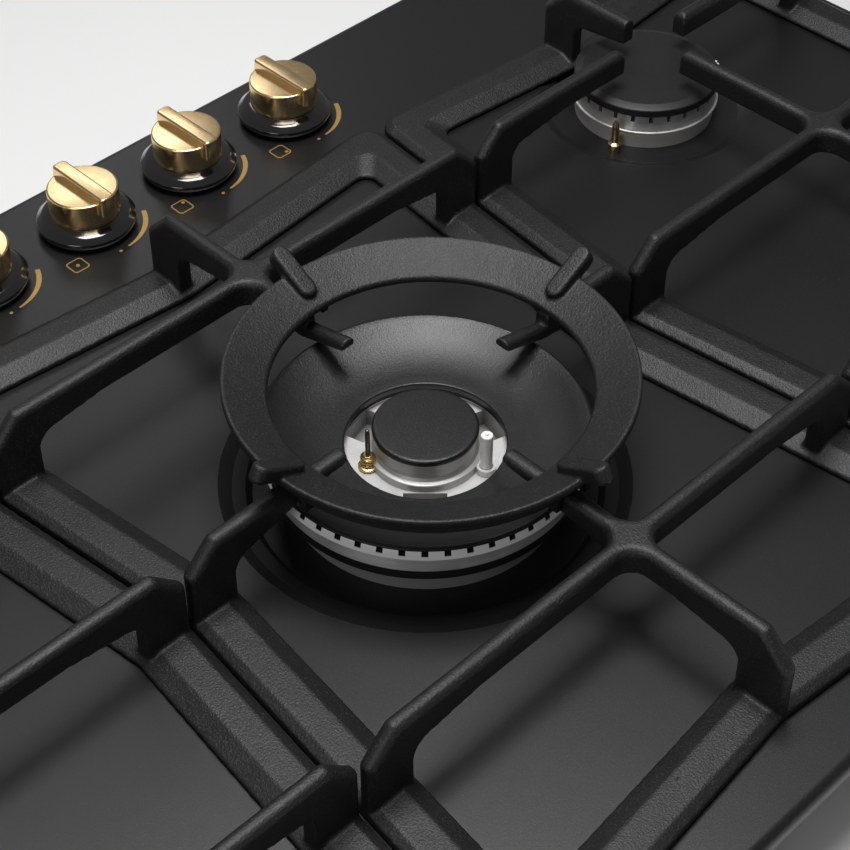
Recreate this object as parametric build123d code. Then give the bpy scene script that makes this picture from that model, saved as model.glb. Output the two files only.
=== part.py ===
"""Built-in gas hob, 88 cm, five burners: a wok burner in the middle, three cast-iron grates, five knobs.

Frame: X to the user's right, Y to the back, Z up. The origin is the middle of the plan at the lowest
point of the pan. Heights inside the grates and burners are given above the hob surface and moved up
by TOP_Z at the end.
"""
from build123d import *
import math
import os

# ---- hob top and pan (mm) ----
PLATE_W = 880.0          # hob top, left to right
PLATE_D = 516.0          # hob top, front to back
PLATE_R = 10.0           # corner radius in plan
TOP_Z = 60.0             # hob surface above the pan's underside
WORKTOP_Z = 50.0         # worktop surface above the pan's underside
SHEET = 1.0              # enamelled steel of the hob top
RIM_FOLD = 14.0          # width of the flange folded in under the rim
RIM_EDGE_R = 5.0         # rounded top edge of the rim
SEAL_T = 2.0             # foam seal between rim and worktop
SEAL_W = 8.0
PAN_GAP = 22.0           # from the rim's edge in to the pan wall
PAN_R = 14.0
PAN_SHEET = 0.8
PAN_FLANGE = 7.5

# ---- burners ----
WOK_X = 3.0              # wok burner axis, right of the middle of the plan
WOK_Y = 30.0             # and behind it
SIDE_X = 282.0           # axes of the outer burners
SIDE_SPAN = 114.0        # outer burners before and behind the wok burner's line
RAPID_R = 50.0
MEDIUM_R = 37.5
SMALL_R = 27.5
FLOOR_DROP = 7.0         # deepest level of the wok burner's well below the surface
CUP_DEPTH = 41.0         # wok burner below the surface
WOK_BODY_R = 70.0        # visible outside of the wok burner
WELL_R = WOK_BODY_R + 22.0
WELL_STEP_R = WOK_BODY_R + 8.0
CUP_REST_R = WOK_BODY_R - 8.0
CUP_HOLE_R = CUP_REST_R - 4.0
WOK_BODY_Z = 8.0         # lower edge of the visible body
CROWN_Z = 22.0
CROWN_TOP_Z = 28.6
CROWN_R = WOK_BODY_R + 2.5
CROWN_WALL = 4.5
BODY_RIM = 5.5           # width of the body's upper rim under the crown
DECK_Z = 15.0            # inner seat of the crown on the body
DECK_T = 1.8
CROWN_SLOTS = 48
SLOT_W = 2.2
SLOT_H = 3.2
DISH_R = CROWN_R + 0.7
DISH_CREST_R = CROWN_R - 5.0
DISH_CREST_Z = 30.0
DISH_LIP_R = 35.5
DISH_LIP_Z = 21.0
DISH_LIP_T = 3.2
DISH_T = 2.4
INNER_FLOOR_Z = 14.0
INNER_CAP_R = 23.4
INNER_CAP_TOP_Z = 30.0
INNER_CROWN_R = 22.3
IGNITER_R = 2.7
IGNITER_TOP_Z = 36.0
PROBE_TOP_Z = 34.0
SEAT_GAP = 0.3           # running gap round pieces that drop into a seat

# ---- grates ----
GRATE_TOP = 45.5         # top of the bars above the hob surface
BAR_W = 8.0
BAR_DEPTH = 13.5
BAR_ROUND = 3.7          # rounded upper edges
JUNCTION_R = 9.0         # fillets where bars cross
FRAME_TOP = 7.2
FRAME_UNDER = 1.6
FRAME_W = 26.0
FRAME_SLOPE_W = 9.0      # long slope along the inside of the frame
FRAME_FOOT = 2.6         # height of the frame's inner edge
FRAME_BEVEL_W = 4.5
FRAME_BEVEL_H = 2.6
WAIST_X = 134.7          # half width of the centre grate at the burner line
GRATE_GAP = 2.0          # between neighbouring grates
SIDE_FLARE = 0.115       # run of the long sides away from the waist
END_FLARE = 0.09
FRONT_Y = 187.0          # front frame edge before the burner line
REAR_Y = 200.0
CROSS_FRONT = 114.5
CROSS_REAR = 117.0
OUTER_X = 428.0          # outer edge of the side grates
CORNER_R = 12.0
RISER_LEN = 22.8
RISER_DEPTH = 18.0       # depth of a bar beside its riser
RISER_TAPER = 36.0       # length over which the bar thins from there
RISER_CURVE = 9.0
SHOULDER_ROUND = 2.5
SHOULDER = 14.0          # chamfer at the outer end of each bar
TIP_R = 54.0             # inner ends of the wok burner's fingers
TIP_STEP_R = 74.0        # where the low end begins, under the wok ring
TIP_TOP = 39.0
TIP_W = 6.6
TIP_DEPTH = 4.8
SIDE_TIP_R = 24.0
GRATE_Y = WOK_Y - 3.3    # the grates' middle line lies a little before the burner axis
PAD_R = 5.0

# ---- wok ring ----
RING_R = 90.0
RING_TOP_Z = 59.0
RING_IN_R = 70.1
RING_IN_Z = 49.9
RING_FOOT_R = 84.0
BUMP_W = 6.4
BUMP_IN_R = 73.5
BUMP_OUT_R = 97.5
BUMP_IN_Z = 55.6
BUMP_OUT_Z = 69.1
RIB_T = 8.0
LUG_T = 4.0
LUG_GAP = 2.6            # the ring may lie a little off the middle of the grate
LUG_DROP = 7.5
RING_X = WOK_X - 5.3     # where the ring lies on the grate
RING_Y = WOK_Y - 1.9

# ---- knobs, taps, gas ----
KNOBS = 5
KNOB_PITCH = 67.2
KNOB_FROM_EDGE = 41.7
KNOB_Y = KNOB_FROM_EDGE - PLATE_D / 2 # row of knobs along the front edge
SKIRT_R = 25.2
SKIRT_LOW = 3.0          # gap under a knob, more than its push
SKIRT_EDGE_Z = 6.0
SKIRT_TOP = 10.4
GRIP_R = 18.0
GRIP_TOP = 24.3
GRIP_BAR_W = 9.6
GRIP_BAR_L = 42.0        # the bar stands out past the drum at the pointer end
GRIP_BAR_OUT = 22.4
GRIP_BAR_LOW = 18.8
GRIP_BAR_TOP = 29.0
STEM_R = 4.0
STEM_TOP = 20.0
STEM_HOLE_R = 5.0
PUSH = 2.5               # how far a knob is pushed in
TAP_R = 11.0
TAP_H = 32.0
MANIFOLD_R = 8.0
MANIFOLD_DY = 21.0       # manifold behind the row of knobs
MANIFOLD_SPARE = 50.0    # its length beyond the outer taps, both ends together
PIPE_R = 6.0
PIPE_BEND = 18.0
PIPE_Z = 10.0            # low run of the pipe
PIPE_AROUND = 70.0       # its run to the right, round the burner
PIPE_LEAD = 60.0
SPARK_X = -330.0
SPARK_Y = KNOB_Y + 56.3
SPARK_W = 74.0
SPARK_D = 42.0
SPARK_H = 26.0
POST_PITCH = 12.0
POST_R = 2.5

# ---- electrodes, flame probe ----
IGNITER_AT = (-9.9, 27.4) # from the wok burner's axis
PROBE_AT = (24.7, -10.4)
NUT_R = 4.1
NUT_H = 1.6              # flange of the flame probe's nut
RIBBED_R = 3.4
RIBS = 4                 # ribs on its neck
RIB_PITCH = 1.9
PROBE_R = 1.7
IGNITER_COLLAR_R = 4.3   # raised collar round the electrode
IGNITER_COLLAR_H = 3.4

# ---- outer burners ----
SIDE_WELL_EXTRA = 20.0   # outer burner's well beyond its spreader
SIDE_WELL_DROP = 3.0
SIDE_REST = 4.0          # width of the ring that an outer burner rests on
SIDE_CUP_DEPTH = 36.0
SIDE_RIM_Z = 8.0         # heights of the outer burners above the surface
SIDE_CROWN_TOP = 17.0
SIDE_CAP_TOP = 23.0
SIDE_ELECTRODE = 6.5     # electrodes stand this far outside the spreader
SIDE_ELECTRODE_DROP = SIDE_WELL_DROP
OUTER_BURNERS = {
    "front_left": (-SIDE_X, GRATE_Y - SIDE_SPAN, MEDIUM_R),
    "rear_left": (-SIDE_X, GRATE_Y + SIDE_SPAN, RAPID_R),
    "front_right": (SIDE_X, GRATE_Y - SIDE_SPAN, SMALL_R),
    "rear_right": (SIDE_X, GRATE_Y + SIDE_SPAN, MEDIUM_R),
}

# ---- clamps, taps, inlet ----
CLAMP_X = 300.0          # clamps left and right of the middle
CLAMP_W = 22.0
CLAMP_T = 1.5
CLAMP_REACH = 17.0
CLAMP_TOP_Z = WORKTOP_Z - 30.0 # underside of a worktop 30 mm thick
CLAMP_H = 26.0
STEM_IN_TAP = 16.0       # depth of a stem in its tap
TAP_BORE_GAP = 0.06
TAP_FLANGE = 1.5
MANIFOLD_Z = TOP_Z - SHEET - TAP_H + 10.0
INLET_X = 330.0          # gas inlet in the rear wall
INLET_Z = 22.0
INLET_R = 10.45
INLET_OUT = 15.0
INLET_IN = 14.0
INLET_RELIEF = 1.0       # plain neck where it passes the wall
INLET_NECK_R = 9.9
KNOB_X = [KNOB_PITCH * (i - KNOBS // 2) for i in range(KNOBS)]


def turned(*corners):
    """Solid of revolution about Z from (r, z) corners; a third value rounds that corner."""
    face = make_face(Polyline(*[(c[0], 0, c[1]) for c in corners], close=True)).face()
    for corner in corners:
        if len(corner) == 3:
            spot = Vector(corner[0], 0, corner[1])
            vertex = min(face.vertices(), key=lambda v: (Vector(v) - spot).length)
            face = face.fillet_2d(corner[2], [vertex])
    return revolve(face, Axis.Z)


def plate(width, depth, radius, low, high):
    """Flat rounded rectangle between two heights."""
    return Pos(0, 0, low) * extrude(RectangleRounded(width, depth, radius), high - low)


def block(x0, x1, y0, y1, z0, z1):
    """Straight block between two corners."""
    middle = Pos((x0 + x1) / 2, (y0 + y1) / 2, (z0 + z1) / 2)
    return middle * Box(x1 - x0, y1 - y0, z1 - z0)


def rod(radius, low, high):
    """Upright round bar."""
    return Pos(0, 0, (low + high) / 2) * Cylinder(radius, high - low)


def write(name, shape):
    export_step(shape, f"parts/{name}.step")


# ------------------------------------------------------------------ hob top, pan, seal, clamps


def wok_well():
    """Pressed well round the wok burner: a long slope, a bead and a deep floor."""
    top = [
        (WELL_R, 0.0),
        (WELL_R - 6, -3.2),
        (WELL_STEP_R + 2, -4.0),
        (WELL_STEP_R - 1, -FLOOR_DROP),
        (CUP_HOLE_R, -FLOOR_DROP),
    ]
    under = [(r, z - SHEET) for r, z in reversed(top)]
    return Pos(WOK_X, WOK_Y, TOP_Z) * turned(*top, *under)


def side_well(radius):
    """Shallow pressed well round an outer burner."""
    outer = radius + SIDE_WELL_EXTRA
    top = [(outer, 0.0), (outer - 6, -SIDE_WELL_DROP), (radius - SIDE_REST, -SIDE_WELL_DROP)]
    under = [(r, z - SHEET) for r, z in reversed(top)]
    return turned(*top, *under)


def hob_top():
    """Enamelled top: flat sheet with rounded folded rim, wells and stem holes."""
    rim_low = WORKTOP_Z + SEAL_T
    shell = plate(PLATE_W, PLATE_D, PLATE_R, rim_low, TOP_Z)
    shell = fillet(shell.edges().group_by(Axis.Z)[-1], RIM_EDGE_R)
    hollow = plate(PLATE_W - 2 * SHEET, PLATE_D - 2 * SHEET, PLATE_R - SHEET, rim_low + SHEET, TOP_Z - SHEET)
    hollow = fillet(hollow.edges().group_by(Axis.Z)[-1], RIM_EDGE_R - SHEET)
    mouth = plate(PLATE_W - 2 * RIM_FOLD, PLATE_D - 2 * RIM_FOLD, PAN_R, rim_low - 1, TOP_Z - SHEET - 2)
    top = shell - hollow - mouth
    top = top - Pos(WOK_X, WOK_Y, TOP_Z) * Cylinder(WELL_R, 4 * SHEET)
    for x, y, radius in OUTER_BURNERS.values():
        top = top - Pos(x, y, TOP_Z) * Cylinder(radius + SIDE_WELL_EXTRA, 4 * SHEET)
    top = top + wok_well()
    for x, y, radius in OUTER_BURNERS.values():
        top = top + Pos(x, y, TOP_Z) * side_well(radius)
    for x in KNOB_X:
        top = top - Pos(x, KNOB_Y, TOP_Z) * Cylinder(STEM_HOLE_R, 4 * SHEET)
    return top


def bottom_pan():
    """Folded tray that closes the hob from below, flanged against the top sheet."""
    width = PLATE_W - 2 * PAN_GAP
    depth = PLATE_D - 2 * PAN_GAP
    high = TOP_Z - SHEET
    pan = plate(width, depth, PAN_R, 0, high)
    pan = pan - plate(width - 2 * PAN_SHEET, depth - 2 * PAN_SHEET, PAN_R - PAN_SHEET, PAN_SHEET, high - PAN_SHEET)
    pan = pan - plate(width - 2 * PAN_FLANGE, depth - 2 * PAN_FLANGE, PAN_R / 2, high - 2 * PAN_SHEET, high + 1)
    inlet_hole = Pos(INLET_X, depth / 2, INLET_Z) * Rot(90, 0, 0) * Cylinder(INLET_NECK_R + SEAT_GAP, 6)
    return pan - inlet_hole


def worktop_seal():
    """Foam strip under the folded rim."""
    edge = RIM_FOLD - SEAL_W
    strip = plate(PLATE_W - edge, PLATE_D - edge, PLATE_R, WORKTOP_Z, WORKTOP_Z + SEAL_T)
    inner = edge + 2 * SEAL_W
    return strip - plate(PLATE_W - inner, PLATE_D - inner, PLATE_R / 2, WORKTOP_Z - 1, WORKTOP_Z + SEAL_T + 1)


def clamp():
    """Angle bracket that grips the worktop's underside; its back face lies on Y = 0."""
    upright = block(-CLAMP_W / 2, CLAMP_W / 2, -CLAMP_T, 0, CLAMP_TOP_Z - CLAMP_T, CLAMP_TOP_Z + CLAMP_H)
    foot = block(-CLAMP_W / 2, CLAMP_W / 2, -CLAMP_REACH, 0, CLAMP_TOP_Z - CLAMP_T, CLAMP_TOP_Z)
    lip = block(-CLAMP_W / 2, CLAMP_W / 2, -CLAMP_REACH, CLAMP_T - CLAMP_REACH, CLAMP_TOP_Z - CLAMP_T, CLAMP_TOP_Z + 3)
    slot = Pos(0, 0, CLAMP_TOP_Z + 0.6 * CLAMP_H) * Rot(90, 0, 0) * Box(4.4, 10, 4 * CLAMP_T)
    return upright + foot + lip - slot


def clamp_screw():
    """Pan-head screw through the clamp's slot, head outside."""
    head = turned((0, 2.4), (2.6, 2.2), (4.0, 0.8), (4.0, 0), (0, 0))
    return Pos(0, -CLAMP_T, CLAMP_TOP_Z + 0.6 * CLAMP_H) * Rot(90, 0, 0) * head


def at_clamps(piece):
    """Four copies of a piece on the pan's front and back walls."""
    wall = PLATE_D / 2 - PAN_GAP
    copies = []
    for x in (-CLAMP_X, CLAMP_X):
        copies.append(Pos(x, -wall, 0) * piece)
        copies.append(Pos(x, wall, 0) * Rot(0, 0, 180) * piece)
    return Compound(children=copies)


# ------------------------------------------------------------------ wok burner

def wok_cup():
    """Die-cast body: visible ring, seat on the well floor, mixing chamber below, inner floor."""
    neck = CUP_HOLE_R - SEAT_GAP
    cup = turned(
        (0, -CUP_DEPTH),
        (neck - 8, -CUP_DEPTH, 4),
        (neck, -FLOOR_DROP - 14),
        (neck, -FLOOR_DROP),
        (CUP_REST_R, -FLOOR_DROP),
        (CUP_REST_R, WOK_BODY_Z),
        (WOK_BODY_R, WOK_BODY_Z, 0.6),
        (WOK_BODY_R, CROWN_Z),
        (WOK_BODY_R - BODY_RIM, CROWN_Z),
        (WOK_BODY_R - BODY_RIM, DECK_Z),
        (DISH_LIP_R + 1, DECK_Z),
        (DISH_LIP_R + 1, INNER_FLOOR_Z),
        (0, INNER_FLOOR_Z),
    )
    ring_chamber = turned(
        (DISH_LIP_R + 4, 2),
        (CUP_REST_R - 4, 2),
        (CUP_REST_R - 4, WOK_BODY_Z + 1),
        (WOK_BODY_R - BODY_RIM, WOK_BODY_Z + 4),
        (WOK_BODY_R - BODY_RIM, DECK_Z + 1),
        (DISH_LIP_R + 4, DECK_Z + 1),
    )
    cup = cup - ring_chamber
    for angle in (45, 165, 285):
        channel = block(26, DISH_LIP_R + 0.5, -9.5, 9.5, INNER_FLOOR_Z - 9, INNER_FLOOR_Z + 1)
        cup = cup - Rot(0, 0, angle) * channel
    cup = cup + Pos(*IGNITER_AT) * rod(IGNITER_COLLAR_R, INNER_FLOOR_Z - 1, INNER_FLOOR_Z + IGNITER_COLLAR_H)
    for spot, radius in ((IGNITER_AT, IGNITER_R + SEAT_GAP), (PROBE_AT, NUT_R + SEAT_GAP)):
        cup = cup - Pos(*spot) * rod(radius, INNER_FLOOR_Z - 6, INNER_FLOOR_Z + 5)
    return cup


def wok_crown():
    """Flame ring: slotted outer wall on the body's rim, and a sloping deck down to the inner seat."""
    edge = WOK_BODY_R - BODY_RIM
    crown = turned(
        (DISH_LIP_R + 1, DECK_Z),
        (DISH_LIP_R + 8, DECK_Z),
        (edge - 7, CROWN_Z - 3.4),
        (edge - 1.5, CROWN_Z - 0.6),
        (edge, CROWN_Z),
        (CROWN_R - 1.2, CROWN_Z),
        (CROWN_R, CROWN_Z + 1.2),
        (CROWN_R, CROWN_TOP_Z),
        (CROWN_R - CROWN_WALL, CROWN_TOP_Z),
        (CROWN_R - CROWN_WALL - 1, CROWN_Z + 1.2),
        (edge - 1, CROWN_Z + 1.0),
        (edge - 7, CROWN_Z - 3.4 + DECK_T),
        (DISH_LIP_R + 8, DECK_Z + DECK_T),
        (DISH_LIP_R + 1, DECK_Z + DECK_T),
    )
    slot = block(CROWN_R - 8, CROWN_R + 2, -SLOT_W / 2, SLOT_W / 2, CROWN_TOP_Z - SLOT_H, CROWN_TOP_Z + 1)
    slots = [Rot(0, 0, 360 / CROWN_SLOTS * i) * slot for i in range(CROWN_SLOTS)]
    return crown - slots


def wok_dish_cap():
    """Ring-shaped cap, dished towards the middle, with a rolled outer edge and a thick inner lip."""
    return turned(
        (DISH_LIP_R, DISH_LIP_Z, 0.9),
        (DISH_LIP_R + 12, DISH_LIP_Z + 0.9),
        (DISH_LIP_R + 22, DISH_LIP_Z + 3.4),
        (DISH_CREST_R - 1.6, DISH_CREST_Z - 0.4, 1.0),
        (DISH_CREST_R + 0.8, DISH_CREST_Z + 0.1, 0.8),
        (DISH_R - 2.6, DISH_CREST_Z - 0.2),
        (DISH_R, DISH_CREST_Z - 0.7, 0.4),
        (DISH_R, CROWN_TOP_Z),
        (CROWN_R - CROWN_WALL, CROWN_TOP_Z),
        (DISH_CREST_R - 3, DISH_CREST_Z - 4.6),
        (DISH_LIP_R + 22, DISH_LIP_Z + 3.4 - DISH_T),
        (DISH_LIP_R + 12, DISH_LIP_Z + 0.9 - DISH_T),
        (DISH_LIP_R + 4, DISH_LIP_Z - DISH_LIP_T),
        (DISH_LIP_R, DISH_LIP_Z - DISH_LIP_T),
    )


def wok_inner_crown():
    """Stepped inner flame ring standing on the body's floor."""
    crown = turned(
        (0, INNER_FLOOR_Z),
        (26.5, INNER_FLOOR_Z),
        (26.5, INNER_FLOOR_Z + 2.5, 0.6),
        (24.6, INNER_FLOOR_Z + 3.4),
        (24.2, INNER_FLOOR_Z + 6.2, 0.6),
        (INNER_CROWN_R, INNER_FLOOR_Z + 7.0),
        (INNER_CROWN_R, INNER_CAP_TOP_Z - 3.4),
        (0, INNER_CAP_TOP_Z - 3.4),
    )
    slot = block(INNER_CROWN_R - 4, INNER_CROWN_R + 1, -0.7, 0.7, INNER_CAP_TOP_Z - 5, INNER_CAP_TOP_Z)
    crown = crown - [Rot(0, 0, 20 * i) * slot for i in range(18)]
    collar_pocket = rod(IGNITER_COLLAR_R + SEAT_GAP, INNER_FLOOR_Z - 1, INNER_FLOOR_Z + IGNITER_COLLAR_H + SEAT_GAP)
    crown = crown - Pos(*IGNITER_AT) * collar_pocket
    return crown - Pos(*PROBE_AT) * rod(NUT_R + SEAT_GAP, INNER_FLOOR_Z - 1, INNER_CAP_TOP_Z - 4)


def wok_inner_cap():
    """Small black cap of the inner flame ring."""
    return turned(
        (0, INNER_CAP_TOP_Z - 3.4),
        (INNER_CAP_R, INNER_CAP_TOP_Z - 3.4),
        (INNER_CAP_R, INNER_CAP_TOP_Z, 1.2),
        (0, INNER_CAP_TOP_Z + 0.2),
    )


def igniter(low):
    """Ceramic electrode with a steel tip; stands on z = low."""
    ceramic = turned((0, low), (IGNITER_R, low), (IGNITER_R, IGNITER_TOP_Z, 0.7), (0, IGNITER_TOP_Z))
    return ceramic + rod(0.8, IGNITER_TOP_Z - 1, IGNITER_TOP_Z + 0.7)


def thermocouple(low):
    """Flame probe: flanged brass nut with a ribbed neck and a slim rounded rod."""
    neck_top = low + NUT_H + 6 + RIBS * RIB_PITCH
    probe = rod(NUT_R, low, low + 6 + NUT_H) + rod(RIBBED_R - 0.6, low + 6, neck_top)
    for i in range(RIBS):
        start = low + 6 + NUT_H + i * RIB_PITCH
        probe = probe + rod(RIBBED_R, start + 0.5, start + RIB_PITCH)
    tip = turned(
        (0, low + 6),
        (PROBE_R, low + 6),
        (PROBE_R, PROBE_TOP_Z - 4),
        (PROBE_R - 0.5, PROBE_TOP_Z, 0.8),
        (0, PROBE_TOP_Z),
    )
    return probe + tip


# ------------------------------------------------------------------ outer burners


def side_cup(radius):
    """Aluminium cup of an outer burner, seated on its well."""
    rest = radius
    neck = radius - SIDE_REST - SEAT_GAP
    return turned(
        (0, -SIDE_CUP_DEPTH),
        (neck * 0.62, -SIDE_CUP_DEPTH, 2),
        (neck * 0.7, -SIDE_WELL_DROP - 14),
        (neck, -SIDE_WELL_DROP - 8),
        (neck, -SIDE_WELL_DROP),
        (rest, -SIDE_WELL_DROP),
        (rest, SIDE_RIM_Z - 3),
        (rest + 3, SIDE_RIM_Z, 0.6),
        (neck * 0.8, SIDE_RIM_Z),
        (neck * 0.55, -SIDE_WELL_DROP - 10),
        (0, -SIDE_WELL_DROP - 10),
    )


def side_spreader(radius):
    """Slotted flame spreader of an outer burner."""
    neck = radius - SIDE_REST - SEAT_GAP
    crown = turned(
        (neck * 0.62, SIDE_RIM_Z),
        (radius + 1, SIDE_RIM_Z),
        (radius - 1, SIDE_CROWN_TOP),
        (neck * 0.62, SIDE_CROWN_TOP),
    )
    count = max(12, round(radius * 0.64))
    slot = block(neck * 0.7, radius + 3, -1.1, 1.1, SIDE_CROWN_TOP - 4.5, SIDE_CROWN_TOP + 1)
    return crown - [Rot(0, 0, 360 / count * i) * slot for i in range(count)]


def side_cap(radius):
    """Black enamelled cap of an outer burner."""
    return turned(
        (0, SIDE_CROWN_TOP),
        (radius + 1.5, SIDE_CROWN_TOP),
        (radius + 1.5, SIDE_CAP_TOP - 1.5, 1.2),
        (radius - 3, SIDE_CAP_TOP),
        (0, SIDE_CAP_TOP + 0.4),
    )


def side_igniter():
    """Electrode beside an outer burner, standing on its well."""
    ceramic = turned((0, 0), (3.4, 0), (3.4, 4), (2.3, 5), (2.3, 15.5, 0.6), (0, 15.5))
    return ceramic + rod(0.7, 15, 17.5)


def side_probe():
    """Flame probe beside an outer burner, standing on its well."""
    return turned((0, 0), (3.6, 0), (3.6, 5), (2.0, 6), (2.0, 16), (1.2, 18.5), (0, 18.5))


def at_outer_burners(piece, angle):
    """One copy of a piece beside each outer burner, turned from the X axis towards the grate's middle."""
    copies = []
    for x, y, radius in OUTER_BURNERS.values():
        reach = radius + SIDE_ELECTRODE
        towards = -1 if y > GRATE_Y else 1
        dx = reach * math.cos(math.radians(angle))
        dy = towards * reach * math.sin(math.radians(angle))
        copies.append(Pos(x + dx, y + dy, TOP_Z - SIDE_ELECTRODE_DROP) * piece)
    return Compound(children=copies)


# ------------------------------------------------------------------ grates

def waisted(side, front, rear):
    """Outline with four slightly drawn-in sides; returns the eight corner points."""
    def corner(end):
        x = (side + SIDE_FLARE * end) / (1 - SIDE_FLARE * END_FLARE)
        return x, end + END_FLARE * x
    fx, fy = corner(front)
    rx, ry = corner(rear)
    return [(side, 0), (rx, ry), (0, rear), (-rx, ry), (-side, 0), (-fx, -fy), (0, -front), (fx, -fy)]


def bulged(inner, outer, front, rear, middle):
    """Outline of a right-hand side grate: inner side pointed, outer side straight."""
    def corner(x, end):
        return end + END_FLARE * abs(x - middle)
    def inner_x(y):
        return inner + SIDE_FLARE * abs(y)
    fx = inner_x(corner(inner, front))
    rx = inner_x(corner(inner, rear))
    return [
        (inner, 0), (fx, -corner(fx, front)), (middle, -front), (outer, -corner(outer, front)),
        (outer, corner(outer, rear)), (middle, rear), (rx, corner(rx, rear)),
    ]


def rounded(points, radius):
    """Polygon with its four outermost corners rounded."""
    face = make_face(Polyline(*points, close=True)).face()
    return face.fillet_2d(radius, sharp_corners(face))


def frame_ring(outline, foot, inner_top):
    """Flat cast frame: bevelled outside, long slope inside from its flat top down to a thin edge."""
    slab = Pos(0, 0, FRAME_UNDER) * extrude(rounded(outline, CORNER_R), FRAME_TOP - FRAME_UNDER)
    slab = chamfer(slab.edges().group_by(Axis.Z)[-1], FRAME_BEVEL_H, FRAME_BEVEL_W)
    low = rounded(foot, CORNER_R / 2)
    high = rounded(inner_top, CORNER_R / 2)
    slope = loft([Pos(0, 0, FRAME_FOOT) * low, Pos(0, 0, FRAME_TOP) * high], ruled=True)
    shaft = Pos(0, 0, FRAME_UNDER - 1) * extrude(low, FRAME_FOOT - FRAME_UNDER + 1)
    return slab - shaft - slope


def sharp_corners(face):
    """The four outermost corners of a grate outline."""
    middle = face.center()
    return sorted(face.vertices(), key=lambda v: -(Vector(v) - middle).length)[:4]


def bar_plan(x0, y0, x1, y1):
    """Plan view of one straight bar along X or Y."""
    if y0 == y1:
        return Pos((x0 + x1) / 2, y0) * Rectangle(abs(x1 - x0), BAR_W)
    return Pos(x0, (y0 + y1) / 2) * Rectangle(BAR_W, abs(y1 - y0))


def bar_net(bars, junctions):
    """Crossing bars in one casting: filleted junctions, rounded upper edges."""
    plan = Sketch() + [bar_plan(*bar) for bar in bars]
    reach = BAR_W
    inner = [
        v for v in plan.vertices()
        if any(abs(v.X - x) < reach and abs(v.Y - y) < reach for x, y in junctions)
    ]
    plan = fillet(inner, JUNCTION_R)
    net = Pos(0, 0, GRATE_TOP - BAR_DEPTH) * extrude(plan, BAR_DEPTH)
    return fillet(net.edges().group_by(Axis.Z)[-1], BAR_ROUND)


def riser():
    """Web under a bar's outer end, standing on the frame; it points to +X, outer face on X = 0."""
    reach = RISER_LEN + RISER_TAPER
    side = [
        (-RISER_LEN, FRAME_UNDER + 1),
        (0, FRAME_UNDER + 1),
        (0, GRATE_TOP - SHOULDER),
        (-SHOULDER, GRATE_TOP),
        (-reach, GRATE_TOP),
        (-reach, GRATE_TOP - BAR_DEPTH),
        (-RISER_LEN, GRATE_TOP - RISER_DEPTH),
    ]
    face = make_face(Polyline(*[(x, -BAR_W / 2, z) for x, z in side], close=True)).face()
    turns = {2: SHOULDER_ROUND, 3: SHOULDER_ROUND, 6: RISER_CURVE}
    for index, radius in turns.items():
        spot = Vector(side[index][0], -BAR_W / 2, side[index][1])
        corner = min(face.vertices(), key=lambda v: (Vector(v) - spot).length)
        face = face.fillet_2d(radius, [corner])
    web = extrude(face, BAR_W, dir=(0, 1, 0))
    rim = [
        e for e in web.edges()
        if e.center().Z > GRATE_TOP - SHOULDER - 1 and abs(abs(e.center().Y) - BAR_W / 2) < 0.01
        and e.center().X > -reach + 0.1
    ]
    return fillet(rim, BAR_ROUND)


def finger_tip():
    """Low rounded inner end of a wok finger on the +X side, thinning towards the burner."""
    side = [
        (TIP_R, TIP_TOP),
        (TIP_STEP_R + 3, TIP_TOP),
        (TIP_STEP_R + 3, GRATE_TOP - BAR_DEPTH),
        (TIP_STEP_R - 2, GRATE_TOP - BAR_DEPTH),
        (TIP_R, TIP_TOP - TIP_DEPTH),
    ]
    face = make_face(Polyline(*[(x, -TIP_W / 2, z) for x, z in side], close=True)).face()
    tip = extrude(face, TIP_W, dir=(0, 1, 0))
    long_edges = [
        e for e in tip.edges().group_by(Axis.Z)[-1]
        if abs(e.center().X - TIP_R) > 1 and e.center().X < TIP_STEP_R
    ]
    tip = fillet(long_edges, TIP_W / 2 - 0.4)
    return tip


def centre_grate():
    """Waisted grate over the wok burner."""
    outline = waisted(WAIST_X, FRONT_Y, REAR_Y)
    foot = waisted(WAIST_X - FRAME_W, FRONT_Y - FRAME_W, REAR_Y - FRAME_W)
    flat = FRAME_W - FRAME_SLOPE_W
    frame = frame_ring(outline, foot, waisted(WAIST_X - flat, FRONT_Y - flat, REAR_Y - flat))
    front_end = WAIST_X + SIDE_FLARE * CROSS_FRONT
    rear_end = WAIST_X + SIDE_FLARE * CROSS_REAR
    into = RISER_LEN + 4
    bars = [
        (-front_end + into, -CROSS_FRONT, front_end - into, -CROSS_FRONT),
        (-rear_end + into, CROSS_REAR, rear_end - into, CROSS_REAR),
        (0, -FRONT_Y + into, 0, -TIP_STEP_R),
        (0, TIP_STEP_R, 0, REAR_Y - into),
        (TIP_STEP_R, 0, WAIST_X - into, 0),
        (-WAIST_X + into, 0, -TIP_STEP_R, 0),
    ]
    grate = frame + bar_net(bars, [(0, -CROSS_FRONT), (0, CROSS_REAR)])
    ends = [
        (WAIST_X, 0, 0), (0, REAR_Y, 90), (-WAIST_X, 0, 180), (0, -FRONT_Y, 270),
        (front_end, -CROSS_FRONT, 0), (-front_end, -CROSS_FRONT, 180),
        (rear_end, CROSS_REAR, 0), (-rear_end, CROSS_REAR, 180),
    ]
    for x, y, angle in ends:
        grate = grate + Pos(x, y, 0) * Rot(0, 0, angle) * riser()
    for angle in (0, 90, 180, 270):
        grate = grate + Rot(0, 0, angle) * finger_tip()
    return grate


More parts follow.
